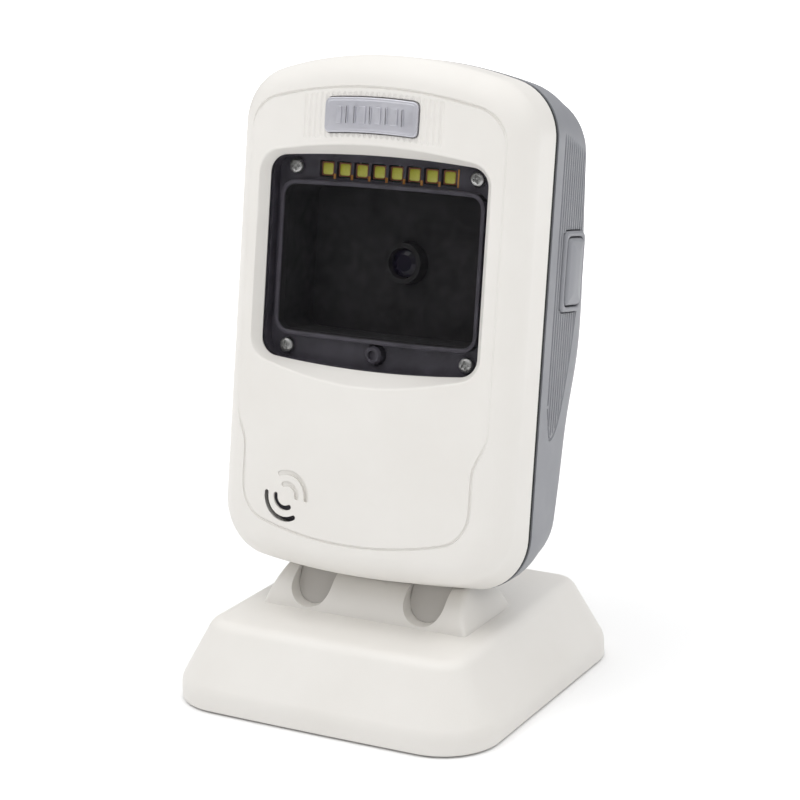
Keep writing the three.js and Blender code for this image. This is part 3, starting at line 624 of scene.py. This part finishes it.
def grip_edges():
    """The groove round the fluted panels' tip and up their rear edge."""
    first, tip, last = GRIP["first"], GRIP["tip"], GRIP["last"]
    low = np.concatenate([np.linspace(first, tip, 14), np.linspace(tip, last, 26)[1:]])
    rear = np.linspace(float(grip_tip(last)) + 0.7, GRIP_TOP["edge"], 24)
    ys = np.concatenate([low, np.full(len(rear), last)])
    zs = np.concatenate([grip_tip(low) - 0.3, rear])
    return gather("edges", [grip_groove(side, ys, zs, 0.42, 0.38, fade=5) for side in (-1, 1)])


def rounded_shape(half, z, high, corner, arc):
    """A nearly straight-sided rounded rectangle, centred on one height, for outline()."""
    return dict(half=half, bottom=z - high, top=z + high, low_arc=arc, top_arc=arc, corner=corner)


def button_rings(xs, width, height, corner):
    """Rounded rectangles about the button's centre; each entry of xs is (place, inset)."""
    shape = rounded_shape(width / 2, BUTTON["z"], height / 2, corner, 500)
    rings = []
    for x, inset in xs:
        points = outline(shape, inset, SMALL)
        rings.append(np.column_stack([np.full(len(points), x), BUTTON["y"] + points[:, 0], points[:, 1]]))
    return rings


def rear_shell(material):
    shell = rear_cup()
    liner = boolean(seat_rod(DRUM["radius"] + CLEARANCE + WALL, 30), [rear_solid()], "INTERSECT")
    tubes = [screw_post((x, z), 4.2, SEAM[1], float(depth_at(z)) - 1) for x, z in REAR_SCREWS]
    rests = [screw_post((x, z), 2, 32.9, float(depth_at(z)) - 1) for x in (-24, 24) for z in (62, 104)]
    ledge = block((-8, 8), (SEAM[1], 26), (12, 14.9))
    shell = join(shell, liner, *tubes, *rests, ledge)
    wells = [screw_post(p, 3, SEAM[1] + 9, 50) for p in REAR_SCREWS]
    holes = [screw_post(p, SCREW_HOLE, SEAM[1] - 1, 50) for p in REAR_SCREWS]
    sides = [(34, -0.3), (43, -0.3)]
    holes.append(loft("hole", button_rings(sides, BUTTON_FRAME["width"], BUTTON_FRAME["height"], 2)))
    high = PORT["high"] + 0.7
    port = rounded_shape(PORT["half"] + 0.7, PORT["z"], high, high * 0.9, 500)
    holes.append(slab("port", outline(port, 0, SMALL), 28, 40))
    holes += [rod("z", 1.4, (11, 17), p, 24) for p in BRACKET_HOLES]
    shell = cut(shell, *seat_cuts(), grip_flutes(), grip_edges(), *wells, *holes)
    return place(shell, "rear_housing", "head", "shell_grey", material, ["rear_shell"])


def seal_ring(material):
    y0, y1 = SEAM[0] + 0.08, SEAM[1] - 0.08
    rings = [upright(outline(HEAD, inset), y) for inset, y in (
        (2.8, y0), (0.5, y0), (0.28, y0 + 0.22), (0.28, y1 - 0.22), (0.5, y1), (2.8, y1),
    )]
    ring = loft("seal", rings, closed=True)
    ring = cut(ring, seat_rod(DRUM["radius"] + CLEARANCE + WALL, 27))
    return place(ring, "seam_seal", "head", "seal_black", material, ["seal_ring"])


def button_frame(material):
    face = BUTTON_FRAME["face"]
    width, height = BUTTON_FRAME["width"], BUTTON_FRAME["height"]
    back, edge_round = 37.2, 0.7
    edge = [(back, 0), (face - edge_round, 0)]
    edge += [
        (face - edge_round * (1 - math.sin(t)), edge_round * (1 - math.cos(t))) for t in quarter(5)[1:]
    ]
    outer = button_rings(edge, width, height, 2)
    sides = [(face, -0.65), (face - 0.1, -0.42), (face - 0.35, -0.3), (back, -0.3)]
    inner = button_rings(sides, BUTTON["width"], BUTTON["height"], 1.4)
    ring = loft("bezel", outer + inner, closed=True)
    return place(ring, "button_bezel", "head", "shell_grey", material, ["button_frame"])


def side_button(material):
    width, height, face = BUTTON["width"], BUTTON["height"], BUTTON["face"]
    cap = [(36.7, 0), (face - 1.5, 0)]
    for turn in quarter(8)[1:]:
        cap.append((face - 1.5 + 1.15 * math.sin(turn), 1.15 * (1 - math.cos(turn))))
    cap += [(face - 0.22, 1.7), (face - 0.1, 2.5), (face - 0.02, 3.4)]
    flange = button_rings([(35.6, 0.25), (35.6, 0), (36.7, 0)], width + 2.2, height + 2.2, 1.4)
    button = loft("button", flange + button_rings(cap, width, height, 1.4))
    button = join(button, rod("x", 1.6, (34.5, 36), (BUTTON["y"], BUTTON["z"]), 32))
    return place(button, "trigger_button", "button", "shell_grey", material, ["side_button"])


# ------------------------------------------------------------------ name plate and window parts

def name_plate(material):
    edge = arched()
    rings = [upright(edge, float(crown(0)) + 0.9), upright(edge, crown(edge[:, 0]) - 0.42)]
    for turn in quarter(4)[1:]:
        points = arched(0.28 * (1 - math.cos(turn)))
        rings.append(upright(points, crown(points[:, 0]) - 0.42 - 0.28 * math.sin(turn)))
    for inset, rise in ((0.75, 0.7), (0.95, 0.58)):
        points = arched(inset)
        rings.append(upright(points, crown(points[:, 0]) - rise))
    count = len(rings[0])
    plate = loft("plate", rings, caps=(None, strips_up((len(rings) - 1) * count, count)))
    return place(plate, "plate", "head", "silver_trim", material, ["name_plate"], angle=50)


def strips_up(start, count):
    """Closes the plate's outline with strips that run up it, so that depth may change with width."""
    corner, bow, side = PLATE_STEPS
    width = 2 * corner + bow
    low = width + side
    left = [start + i for i in (width - 1, *range(width, low), low, low + 1)]
    right = [start + i for i in (1, low + width - 1, *range(low + width, count), 0)]
    faces = [tuple(left), tuple(right)]
    for k in range(1, width - 1):
        faces.append((start + width - k, start + low + k, start + low + k + 1, start + width - k - 1))
    return faces


def plate_bars(material):
    """Raised bars of different widths, as a bar pattern that says nothing."""
    widths = [1.4, 0.6, 0.6, 1.8, 0.6, 1.4, 0.6, 1.8, 0.6]
    bars = []
    for i, width in enumerate(widths):
        x = (i - (len(widths) - 1) / 2) * 2.1
        offset = (x, -float(arch_sag(x)))
        shape = rounded_shape(width / 2, 120.6, 2, 0.25, 300)
        face = float(crown(x)) - 0.85
        rings = [upright(outline(shape, inset, (4, 2, 1)) + offset, y) for inset, y in (
            (0, face + 0.5), (0, face + 0.1), (0.03, face + 0.03), (0.1, face),
        )]
        bars.append(loft("bar", rings))
    bars = gather("bars", bars)
    return place(bars, "plate_bars", "head", "silver_trim", material, None, angle=50)


def led_centres():
    return [(i - (LED["count"] - 1) / 2) * LED["pitch"] for i in range(LED["count"])]


def square(half, x, z, corner=0.5):
    points = outline(rounded_shape(half, z, half, corner, 400), 0, (5, 2, 1))
    points[:, 0] += x
    return points


def optics_tray(materials):
    half, bottom, top = CHAMBER
    opening = dict(half=half, bottom=bottom, top=top, low_arc=900, top_arc=900, corner=3)
    plate = slab("tray", outline(APERTURE, -1.2), 6.6, 8.6)
    steps = (8, 12, 10)
    rim = [upright(outline(opening, inset, steps), y) for inset, y in (
        (-1, 22), (-1, 4.4), (-0.92, 4.25), (-0.75, 4.2), (-0.15, 4.2), (0, 4.3), (0.03, 4.6), (0.4, 20.5),
    )]
    walls = loft("walls", rim)
    sinks = [slab("led", square(2, x, LED["z"]), 5, 10) for x in led_centres()]
    holes = [screw_post(p, 1.3, 5.6, 9.6) for p in TRAY_SCREWS]
    eye = screw_post((0, SENSOR), 2.7, 5.6, 9.6)
    lens = screw_post((0, LENS), 5.3, 19, 24)
    hollow = slab("hollow", outline(opening, 0.2, steps), 6, 20.5)
    outer, inner = outline(APERTURE, -1.2), outline(APERTURE, -0.3)
    section = [upright(outer, 7), upright(outer, 4.1), upright(inner, 4.1), upright(inner, 7)]
    edge = loft("edge", section, closed=True)
    tray = join(plate, walls, edge)
    tray = tidy_slivers(cut(tray, hollow, *sinks, *holes, eye, lens))
    place(tray, "optics_tray_fine", "head", "inner_black", materials, ["optics_tray"])
    # The chamber behind the window gets the darker of the two blacks, as painted shade for the dark inside
    # of the chamber.
    to_head = HEAD_FRAME.inverted() @ Matrix.Scale(1 / MM, 4)
    for polygon in tray.data.polygons:
        x, y, z = to_head @ polygon.center
        if abs(x) < half + 0.3 and bottom - 0.3 < z < top + 0.3 and y > 4.9:
            polygon.material_index = 1
    return tray


def led_chip(i, x, materials):
    """A light: a pale square cup with its phosphor just below the rim."""
    z = LED["z"]
    cup = [upright(square(h, x, z, c), y) for h, y, c in (
        (1.7, 10.1, 0.2), (1.7, 7.25, 0.2), (1.65, 7.15, 0.2), (1.45, 7.15, 0.4), (1.4, 7.35, 0.45),
    )]
    body = loft("led", cup)
    gel = [upright(square(h, x, z, 0.4 * h), y) for h, y in (
        (1.42, 7.5), (1.36, 7.28), (1.15, 7.16), (0.7, 7.11),
    )]
    chip = gather("led", [body, loft("gel", gel)])
    place(chip, f"light_{i}", "head", "phosphor", materials, [f"led_{i}"], angle=40)
    boundary = len(cup[0]) * len(cup)
    for polygon in chip.data.polygons:
        if min(polygon.vertices) >= boundary:
            polygon.material_index = 1
    return chip


def light_wiring(material):
    """The amber ends of the light board's cable, which show between the lights and past the last."""
    z, half, depths = LED["z"], LED["pitch"] / 2, (6.48, 6.66)
    tabs = []
    for x in led_centres()[:-1]:
        tabs.append(block((x + half - 0.3, x + half + 0.3), depths, (z - 2.3, z - 1.1)))
    end = led_centres()[-1] + half
    tabs.append(block((end, end + 0.4), depths, (z - 2.2, z + 2)))
    return place(gather("wiring", tabs), "light_wiring", "head", "flex_film", material, None)


def cross_screw(name, node, place_xz, radius, shank, front, back, tip, material):
    """A pan-head screw with a cross recess. It faces forward when front is below back."""
    way = 1 if back > front else -1
    profile = [(0.02, tip), (shank, tip - way * 0.8), (shank, back), (radius, back)]
    profile += [(radius, back - way * 0.35), (radius * 0.96, front + way * 0.42)]
    profile += [(radius * 0.8, front + way * 0.16), (radius * 0.5, front + way * 0.03), (0.02, front)]
    screw = lathe("y", profile, place_xz, 40)
    x, z = place_xz
    arm = radius * 0.58
    depth = sorted((front - way, front + way * 0.75))
    slots = []
    for turned in (math.radians(20), math.radians(110)):
        c, s = math.cos(turned), math.sin(turned)
        corners = [(arm, 0.26), (arm * 0.4, 0.36), (-arm * 0.4, 0.36), (-arm, 0.26)]
        corners += [(-a, -b) for a, b in corners]
        points = [(x + a * c - b * s, z + a * s + b * c) for a, b in corners]
        slots.append(slab("slot", points, *depth))
    screw = cut(screw, *slots)
    return place(screw, name, "head", "steel", material, [node], angle=40)


# ------------------------------------------------------------------ hinge and stand

def tilt_bracket(material):
    back, up = PIVOT
    plate = block((-21.2, 21.2), (LUG["front"], LUG["back"] - 1), (15.2, 18.2))
    lugs = []
    for s in (-1, 1):
        x0, x1 = s * LUG["x"] - LUG["width"] / 2, s * LUG["x"] + LUG["width"] / 2
        lugs.append(rod("x", LUG["radius"], (x0, x1), (back, up), 128))
        lugs.append(block((x0, x1), (LUG["front"], LUG["back"]), (up, 16.2)))
        slope = [(back, up), (back - 8.6, up + 3.8), (LUG["front"], up + 11), (back, up + 11)]
        rings = [[(x, y, z) for y, z in slope] for x in (x0, x1)]
        lugs.append(loft("neck", [np.array(ring) for ring in rings]))
    bracket = join(plate, *lugs)
    holes = [rod("z", 1.4, (14.2, 19.2), p, 24) for p in BRACKET_HOLES]
    bracket = cut(bracket, rod("x", PIN_BORE, (-25, 25), (back, up), 32), *holes)
    return place(bracket, "hinge_bracket", "head", "shell_white", material, ["tilt_bracket"], bevel=0.2)


def rounded_profile(corners, radii, steps):
    """A bent line with each inner corner rounded."""
    corners = [np.array(c, float) for c in corners]
    line = [corners[0]]
    for before, corner, after, radius in zip(corners, corners[1:], corners[2:], radii):
        a = corner + (before - corner) / np.linalg.norm(before - corner) * radius
        b = corner + (after - corner) / np.linalg.norm(after - corner) * radius
        line += [(1 - t) ** 2 * a + 2 * t * (1 - t) * corner + t * t * b for t in np.linspace(0, 1, steps)]
    return line + [corners[-1]]


def base_rings():
    """The stand's walls and top, from the inside to the outside, as (height, inset) lines."""
    outer = [(0.3, 2.0), (0.3, 0.0), (4.97, 0.0), (PLATEAU, 8.43), (PLATEAU, 12.5)]
    inner = [(18.1, 12.5), (18.1, 9.6), (4.6, 2.0), (0.3, 2.0)]
    section = inner + list(rounded_profile(outer, [0.4, 1.6, 2.4], 8))
    return [level(outline(BASE, inset, BASE_STEPS), z) for z, inset in section]


def drum_solid():
    """The saddle: a drum with rounded rims, whose ends lean in towards the top."""
    count, rim = 144, 1.1
    turn = np.arange(count) * 2 * math.pi / count
    rings = []
    for side in (-1, 1):
        half = []
        for round_turn in quarter(6)[::-1]:
            shrink, back = rim * (1 - math.cos(round_turn)), rim * (1 - math.sin(round_turn))
            radius = DRUM["radius"] - shrink
            y, z = DRUM["y"] + radius * np.cos(turn), DRUM["z"] + radius * np.sin(turn)
            x = side * (DRUM["half"] - back - DRUM["taper"] * (z - PLATEAU))
            half.append(np.column_stack([x, y, z]))
        rings += half if side < 0 else half[::-1]
    return loft("drum", rings)


def notch_cuts():
    half = NOTCH["width"] / 2
    cuts = []
    for s in (-1, 1):
        x, centre = s * LUG["x"], NOTCH["floor"] + half
        turn = np.linspace(math.pi, 2 * math.pi, 25)
        points = [(x + half * math.cos(t), centre + half * math.sin(t)) for t in turn]
        points += [(x + half, 36), (x - half, 36)]
        cuts.append(slab("notch", points, -24, DRUM["y"]))
        cuts.append(block((x - half, x + half), (DRUM["y"] - 0.01, 9), (NOTCH["rear"], 36)))
    return cuts


def base_shell(material):
    body = loft("stand", base_rings())
    upper = boolean(drum_solid(), [block((-32, 32), (-22, 12), (PLATEAU - 2, 34))], "INTERSECT")
    body = join(body, upper)
    y, z = DRUM["y"], DRUM["z"]
    across = (-DRUM_ROOM, DRUM_ROOM)
    room = rod("x", DRUM["radius"] - 3.1, across, (y, z), 96)
    body = cut(body, room, block(across, (y - 9.6, y + 9.6), (8, z)))
    ribs = []
    for x in (-23.4, -8.6, 8.6, 23.4):
        ribs.append(block((x - 1.3, x + 1.3), (y - 10.5, y + 10.5), (11, z)))
        ribs.append(rod("x", DRUM["radius"] - 1, (x - 1.3, x + 1.3), (y, z), 64))
    posts = [rod("z", 3.4, (3.3, 18.6), p, 32) for p in BASE_POSTS]
    body = join(body, *ribs, *posts)
    bores = [rod("z", SCREW_HOLE, (2, 15), p, 24) for p in BASE_POSTS]
    below = block((-24.9, 24.9), (y - 12, y + 12), (2, 11))
    body = cut(body, *notch_cuts(), rod("x", PIN_BORE, across, (y, z), 32), *bores, below)
    return place(body, "stand_housing", "stand", "shell_white", material, ["base_shell"], STAND_FRAME)


# ------------------------------------------------------------------ materials

class Graph:
    """A material's nodes, with short calls for the ones used here."""

    def __init__(self, name):
        self.material = bpy.data.materials.new(name)
        self.material.use_nodes = True
        self.tree = self.material.node_tree
        self.shader = self.tree.nodes["Principled BSDF"]
        self.place = self.node("ShaderNodeTexCoord").outputs["Object"]

    def node(self, kind, values=None, **settings):
        node = self.tree.nodes.new(kind)
        for key, value in settings.items():
            setattr(node, key, value)
        for key, value in (values or {}).items():
            node.inputs[key].default_value = value
        return node

    def link(self, source, target):
        self.tree.links.new(source, target)

    def set(self, **values):
        for key, value in values.items():
            self.shader.inputs[key.replace("_", " ")].default_value = value

    def drive(self, **sources):
        for key, source in sources.items():
            self.link(source, self.shader.inputs[key.replace("_", " ")])

    def noise(self, scale, detail=3.0, roughness=0.55, vector=None):
        values = {"Scale": scale, "Detail": detail, "Roughness": roughness}
        node = self.node("ShaderNodeTexNoise", values)
        self.link(vector or self.place, node.inputs["Vector"])
        return node.outputs["Fac"]

    def cells(self, scale):
        node = self.node("ShaderNodeTexVoronoi", {"Scale": scale})
        self.link(self.place, node.inputs["Vector"])
        return node.outputs["Distance"]

    def stretch(self, x, y, z):
        node = self.node("ShaderNodeMapping", {"Scale": (x, y, z)})
        self.link(self.place, node.inputs["Vector"])
        return node.outputs["Vector"]

    def span(self, value, low, high, start=0.3, end=0.7):
        values = {"From Min": start, "From Max": end, "To Min": low, "To Max": high}
        node = self.node("ShaderNodeMapRange", values)
        self.link(value, node.inputs["Value"])
        return node.outputs["Result"]

    def mix(self, share, a, b):
        node = self.node("ShaderNodeMix", data_type="RGBA")
        self.link(share, node.inputs["Factor"])
        for socket, value in ((node.inputs["A"], a), (node.inputs["B"], b)):
            if isinstance(value, tuple):
                socket.default_value = (*value, 1)
            else:
                self.link(value, socket)
        return node.outputs["Result"]

    def bump(self, height, distance, strength, normal=None):
        node = self.node("ShaderNodeBump", {"Distance": distance, "Strength": strength})
        self.link(height, node.inputs["Height"])
        if normal:
            self.link(normal, node.inputs["Normal"])
        return node.outputs["Normal"]

    def soft_edge(self, radius):
        return self.node("ShaderNodeBevel", {"Radius": radius}, samples=6).outputs["Normal"]

    def edge_mask(self, rounded):
        """One where the surface turns over an edge, nought on the flat."""
        plain = self.node("ShaderNodeNewGeometry").outputs["Normal"]
        dot = self.node("ShaderNodeVectorMath", operation="DOT_PRODUCT")
        self.link(rounded, dot.inputs[0])
        self.link(plain, dot.inputs[1])
        return self.span(dot.outputs["Value"], 1.0, 0.0, 0.86, 0.995)


def moulded(name, colour, shade_colour, worn, grain=0.00035):
    """Satin moulded plastic: fine grain, slow colour drift, paler on handled edges."""
    roughness, edge, depth = 0.46, 0.00018, 0.00002
    g = Graph(name)
    drift = g.span(g.noise(38, 4), 0, 1, 0.35, 0.65)
    colour_out = g.mix(drift, colour, shade_colour)
    fine = g.noise(1 / grain, 2)
    rounded = g.soft_edge(edge)
    wear = g.edge_mask(rounded)
    patchy = g.span(g.noise(240, 3), 0.0, 0.75, 0.4, 0.62)
    worn_share = g.node("ShaderNodeMath", operation="MULTIPLY")
    g.link(wear, worn_share.inputs[0])
    g.link(patchy, worn_share.inputs[1])
    g.drive(Base_Color=g.mix(worn_share.outputs[0], colour_out, worn))
    g.drive(Roughness=g.span(g.noise(90, 3), roughness - 0.05, roughness + 0.07))
    coarse = g.bump(g.noise(210, 2), depth * 1.2, 0.5, rounded)
    g.drive(Normal=g.bump(fine, depth, 0.8, coarse))
    g.set(IOR=1.5)
    return g.material


def dark_plastic(name, colour, roughness=0.55):
    g = Graph(name)
    lighter = tuple(min(1, c * 1.7 + 0.004) for c in colour)
    g.drive(Base_Color=g.mix(g.span(g.noise(160, 4), 0, 1), colour, lighter))
    g.drive(Roughness=g.span(g.noise(420, 3), roughness - 0.12, roughness + 0.1))
    g.drive(Normal=g.bump(g.noise(1900, 3), 0.00003, 0.8, g.soft_edge(0.00015)))
    return g.material


def rubber(name, colour):
    g = Graph(name)
    dusty = tuple(c * 1.9 + 0.01 for c in colour)
    g.drive(Base_Color=g.mix(g.span(g.noise(300, 5), 0, 0.8, 0.45, 0.75), colour, dusty))
    g.drive(Normal=g.bump(g.cells(1500), 0.00004, 0.7))
    g.drive(Roughness=g.span(g.noise(200), 0.72, 0.9))
    return g.material


def metal(name, colour, roughness, stretch):
    """Plated metal, with its grain drawn out along one direction."""
    g = Graph(name)
    grain = g.noise(900, 4, 0.7, g.stretch(*stretch))
    dull = tuple(c * 0.82 for c in colour)
    g.drive(Base_Color=g.mix(g.span(grain, 0, 1), colour, dull))
    g.drive(Roughness=g.span(g.noise(500, 3), roughness - 0.07, roughness + 0.1))
    g.drive(Normal=g.bump(grain, 0.000006, 0.7, g.soft_edge(0.00012)))
    g.set(Metallic=1.0)
    return g.material


def satin_silver():
    g = Graph("satin_silver")
    grain = g.noise(2600, 3)
    drift = g.span(g.noise(60, 3), 0, 1)
    g.drive(Base_Color=g.mix(drift, (0.52, 0.52, 0.57), (0.60, 0.60, 0.64)))
    g.drive(Roughness=g.span(g.noise(700, 3), 0.34, 0.5))
    g.drive(Normal=g.bump(grain, 0.000012, 0.8, g.soft_edge(0.00012)))
    g.set(Metallic=0.75)
    return g.material


def smoked_pane():
    g = Graph("smoked_pane")
    g.set(Alpha=0.12, IOR=1.49, Specular_IOR_Level=0.12)
    tint = g.span(g.noise(25, 2), 0, 1)
    g.drive(Base_Color=g.mix(tint, (0.012, 0.012, 0.014), (0.018, 0.017, 0.02)))
    g.drive(Roughness=g.span(g.noise(120, 3), 0.035, 0.075))
    return g.material


def phosphor():
    """Yellow-green gel with painted shade: darker towards one corner of each chip and lighter towards the
    other.
    """
    g = Graph("phosphor_gel")
    speck = g.span(g.noise(2400, 3), 0, 1)
    across = g.node("ShaderNodeVectorMath", operation="DOT_PRODUCT")
    across.inputs[1].default_value = (0.5, 0, -0.8)
    g.link(g.node("ShaderNodeTexCoord").outputs["Generated"], across.inputs[0])
    # Painted shade across each chip: the gel runs from the lit colour to a darker, shaded colour towards one
    # corner.
    lit_gel = g.mix(speck, (0.95, 0.92, 0.20), (0.84, 0.88, 0.12))
    deep = g.mix(speck, (0.60, 0.56, 0.04), (0.50, 0.52, 0.03))
    g.drive(Base_Color=g.mix(g.span(across.outputs["Value"], 0, 1, -0.55, 0.25), deep, lit_gel))
    g.drive(Normal=g.bump(g.noise(1800, 2), 0.00002, 0.6))
    g.drive(Roughness=g.span(g.noise(600), 0.25, 0.4))
    g.set(Coat_Weight=0.6, Coat_Roughness=0.12)
    return g.material


def circuit_board():
    """Green solder mask over fine copper tracks, with pale pads."""
    g = Graph("solder_mask")
    sizes = {"Scale": 260, "Mortar Size": 0.03}
    tracks = g.node("ShaderNodeTexBrick", sizes, offset=0.37, squash=0.6)
    g.link(g.place, tracks.inputs["Vector"])
    mask = g.mix(tracks.outputs["Fac"], (0.012, 0.10, 0.045), (0.03, 0.19, 0.08))
    pads = g.span(g.cells(420), 1, 0, 0.1, 0.14)
    g.drive(Base_Color=g.mix(pads, mask, (0.62, 0.58, 0.44)))
    g.drive(Normal=g.bump(tracks.outputs["Fac"], 0.00003, 0.8))
    g.drive(Roughness=g.span(g.noise(300), 0.25, 0.42))
    return g.material


def amber_film():
    g = Graph("amber_film")
    wave = g.node("ShaderNodeTexWave", {"Scale": 320}, bands_direction="X")
    g.link(g.place, wave.inputs["Vector"])
    g.drive(Base_Color=g.mix(wave.outputs["Fac"], (0.50, 0.20, 0.03), (0.62, 0.30, 0.07)))
    g.drive(Roughness=g.span(g.noise(260), 0.2, 0.36))
    g.set(Coat_Weight=0.5)
    return g.material


def coated_lens():
    g = Graph("coated_lens")
    tint = g.span(g.noise(160, 2), 0, 1)
    g.drive(Base_Color=g.mix(tint, (0.004, 0.005, 0.010), (0.012, 0.007, 0.020)))
    g.drive(Roughness=g.span(g.noise(90), 0.05, 0.1))
    g.set(IOR=1.45, Specular_IOR_Level=0.3)
    return g.material


MATERIALS = {
    "shell_white": moulded(
        "warm_white_plastic", (0.765, 0.745, 0.712), (0.742, 0.72, 0.685), (0.83, 0.82, 0.79)
    ),
    "shell_grey": moulded(
        "grey_plastic", (0.265, 0.27, 0.292), (0.243, 0.248, 0.27), (0.42, 0.43, 0.45)
    ),
    "seal_black": rubber("seal_rubber", (0.008, 0.008, 0.009)),
    "inner_black": dark_plastic("black_plastic", (0.047, 0.043, 0.055)),
    # A near-black for painted shade, given to the chamber and the lens barrel inside it.
    "deep_black": dark_plastic("painted_shade_black", (0.0085, 0.008, 0.0085), 0.9),
    "pane": smoked_pane(),
    "lens": coated_lens(),
    "silver_trim": satin_silver(),
    "steel": metal("zinc_steel", (0.62, 0.62, 0.61), 0.3, (1, 1, 6)),
    "rubber_dark": rubber("foot_rubber", (0.02, 0.02, 0.021)),
    "phosphor": phosphor(),
    "circuit_board": circuit_board(),
    "flex_film": amber_film(),
}


def dress_nodes():
    """Every CAD piece that stays gets its slot's material and soft edges."""
    slots = {row["node"]: row["material_slot"] for row in frame["record"]["subparts"]}
    for name, obj in NODES.items():
        obj.data.materials.clear()
        # The lens barrel gets the near-black of painted shade.
        obj.data.materials.append(MATERIALS["deep_black" if name == "lens_barrel" else slots[name]])
        if obj.hide_render:
            continue
        obj.data.shade_smooth()
        obj.data.set_sharp_from_angle(angle=math.radians(35))
        round_edges(obj, 0.00015, 2, 40)


# ------------------------------------------------------------------ light, floor and camera

def floor():
    """A pale floor that brightens away from the object, so that it runs into a white background."""
    size = 3.0
    points = [(x, y, -0.0002) for x, y in ((-size, -size), (size, -size), (size, size), (-size, size))]
    ground = add("floor", bpy.data.meshes.new("floor"))
    ground.data.from_pydata(points, [], [(0, 1, 2, 3)])
    g = Graph("white_floor")
    tone = g.mix(g.span(g.noise(3, 2), 0, 1), (0.93, 0.93, 0.93), (0.95, 0.95, 0.95))
    g.drive(Base_Color=tone)
    away = g.node("ShaderNodeVectorMath", operation="LENGTH")
    g.link(g.place, away.inputs[0])
    g.drive(Emission_Strength=g.span(away.outputs["Value"], 0.0, 0.4, 0.12, 0.5))
    g.set(Roughness=0.8, Emission_Color=(1, 1, 1, 1))
    ground.data.materials.append(g.material)


# Strengths of the white surround, then each lamp's place in metres and power in watts.
HORIZON, OVERHEAD, SEEN = 0.1, 1.62, 1.05
LAMPS = {"key": ((-0.3, -0.4, 0.9), 1.6), "fill": ((0.7, 0.2, 0.9), 0.8)}


def area_light(name, position, power, target=(0, 0, 0.07), size=0.6):
    data = bpy.data.lights.new(name, "AREA")
    data.shape = "RECTANGLE"
    data.size = data.size_y = size
    data.energy = power
    lamp = add(name, data)
    lamp.location = position
    lamp.rotation_euler = (Vector(target) - Vector(position)).to_track_quat("-Z", "Y").to_euler()


def studio():
    """A white surround that is brighter overhead than at the horizon, and two broad lamps above."""
    world = bpy.data.worlds.new("studio")
    world.use_nodes = True
    tree = world.node_tree
    nodes, links = tree.nodes, tree.links
    background = nodes["Background"]
    background.inputs["Color"].default_value = (1, 1, 1, 1)
    height = nodes.new("ShaderNodeSeparateXYZ")
    links.new(nodes.new("ShaderNodeTexCoord").outputs["Generated"], height.inputs["Vector"])
    sky = nodes.new("ShaderNodeMapRange")
    sky.inputs["To Min"].default_value = HORIZON
    sky.inputs["To Max"].default_value = OVERHEAD
    links.new(height.outputs["Z"], sky.inputs["Value"])
    seen = nodes.new("ShaderNodeMix")
    links.new(nodes.new("ShaderNodeLightPath").outputs["Is Camera Ray"], seen.inputs["Factor"])
    links.new(sky.outputs["Result"], seen.inputs["A"])
    seen.inputs["B"].default_value = SEEN
    links.new(seen.outputs["Result"], background.inputs["Strength"])
    bpy.context.scene.world = world
    for name, (position, power) in LAMPS.items():
        area_light(name, position, power)


def camera():
    azimuth, elevation, roll = map(math.radians, (28.64, 15.04, -0.84))
    distance = 547.8 * MM
    target = Vector((7.75, -10.88, 74.45)) * MM
    out = math.cos(elevation)
    back = Vector((math.sin(azimuth) * out, -math.cos(azimuth) * out, math.sin(elevation)))
    right = Vector((math.cos(azimuth), math.sin(azimuth), 0))
    up = back.cross(right)
    turned_right = right * math.cos(roll) + up * math.sin(roll)
    turned_up = up * math.cos(roll) - right * math.sin(roll)
    data = bpy.data.cameras.new("camera")
    data.lens = 103.8
    data.sensor_width = 36
    data.clip_start = 0.01
    cam = add("camera", data)
    axes = Matrix((turned_right, turned_up, back)).transposed().to_4x4()
    cam.matrix_world = Matrix.Translation(target + back * distance) @ axes
    bpy.context.scene.camera = cam
    bpy.context.scene.view_settings.view_transform = "Standard"


# ------------------------------------------------------------------ assembly

white, grey = MATERIALS["shell_white"], MATERIALS["shell_grey"]
base_shell(white)
# The hinge lugs get a darker copy of the white plastic: painted shade for the shadow they sit in within the
# saddle's notches.
tilt_bracket(moulded("hinge_painted_shade", (0.52, 0.50, 0.475), (0.49, 0.47, 0.44), (0.62, 0.61, 0.58)))
front_shell(white)
rear_shell(grey)
seal_ring(MATERIALS["seal_black"])
button_frame(grey)
side_button(grey)
name_plate(MATERIALS["silver_trim"])
plate_bars(MATERIALS["silver_trim"])
optics_tray([MATERIALS["inner_black"], MATERIALS["deep_black"]])
led_cup = moulded("light_housing", (0.33, 0.13, 0.06), (0.24, 0.085, 0.05), (0.46, 0.22, 0.12), grain=0.0002)
for i, x in enumerate(led_centres(), 1):
    led_chip(i, x, [led_cup, MATERIALS["phosphor"]])
light_wiring(MATERIALS["flex_film"])
for i, xz in enumerate(TRAY_SCREWS, 1):
    cross_screw(f"tray_screw_fine_{i}", f"tray_screw_{i}", xz, 1.9, 1, 5.1, 6.3, 13, MATERIALS["steel"])
for i, xz in enumerate(REAR_SCREWS, 1):
    cross_screw(f"rear_screw_fine_{i}", f"rear_screw_{i}", xz, 2.6, 1.35, 28.7, 26.8, 8, MATERIALS["steel"])
dress_nodes()
camera()
floor()
studio()
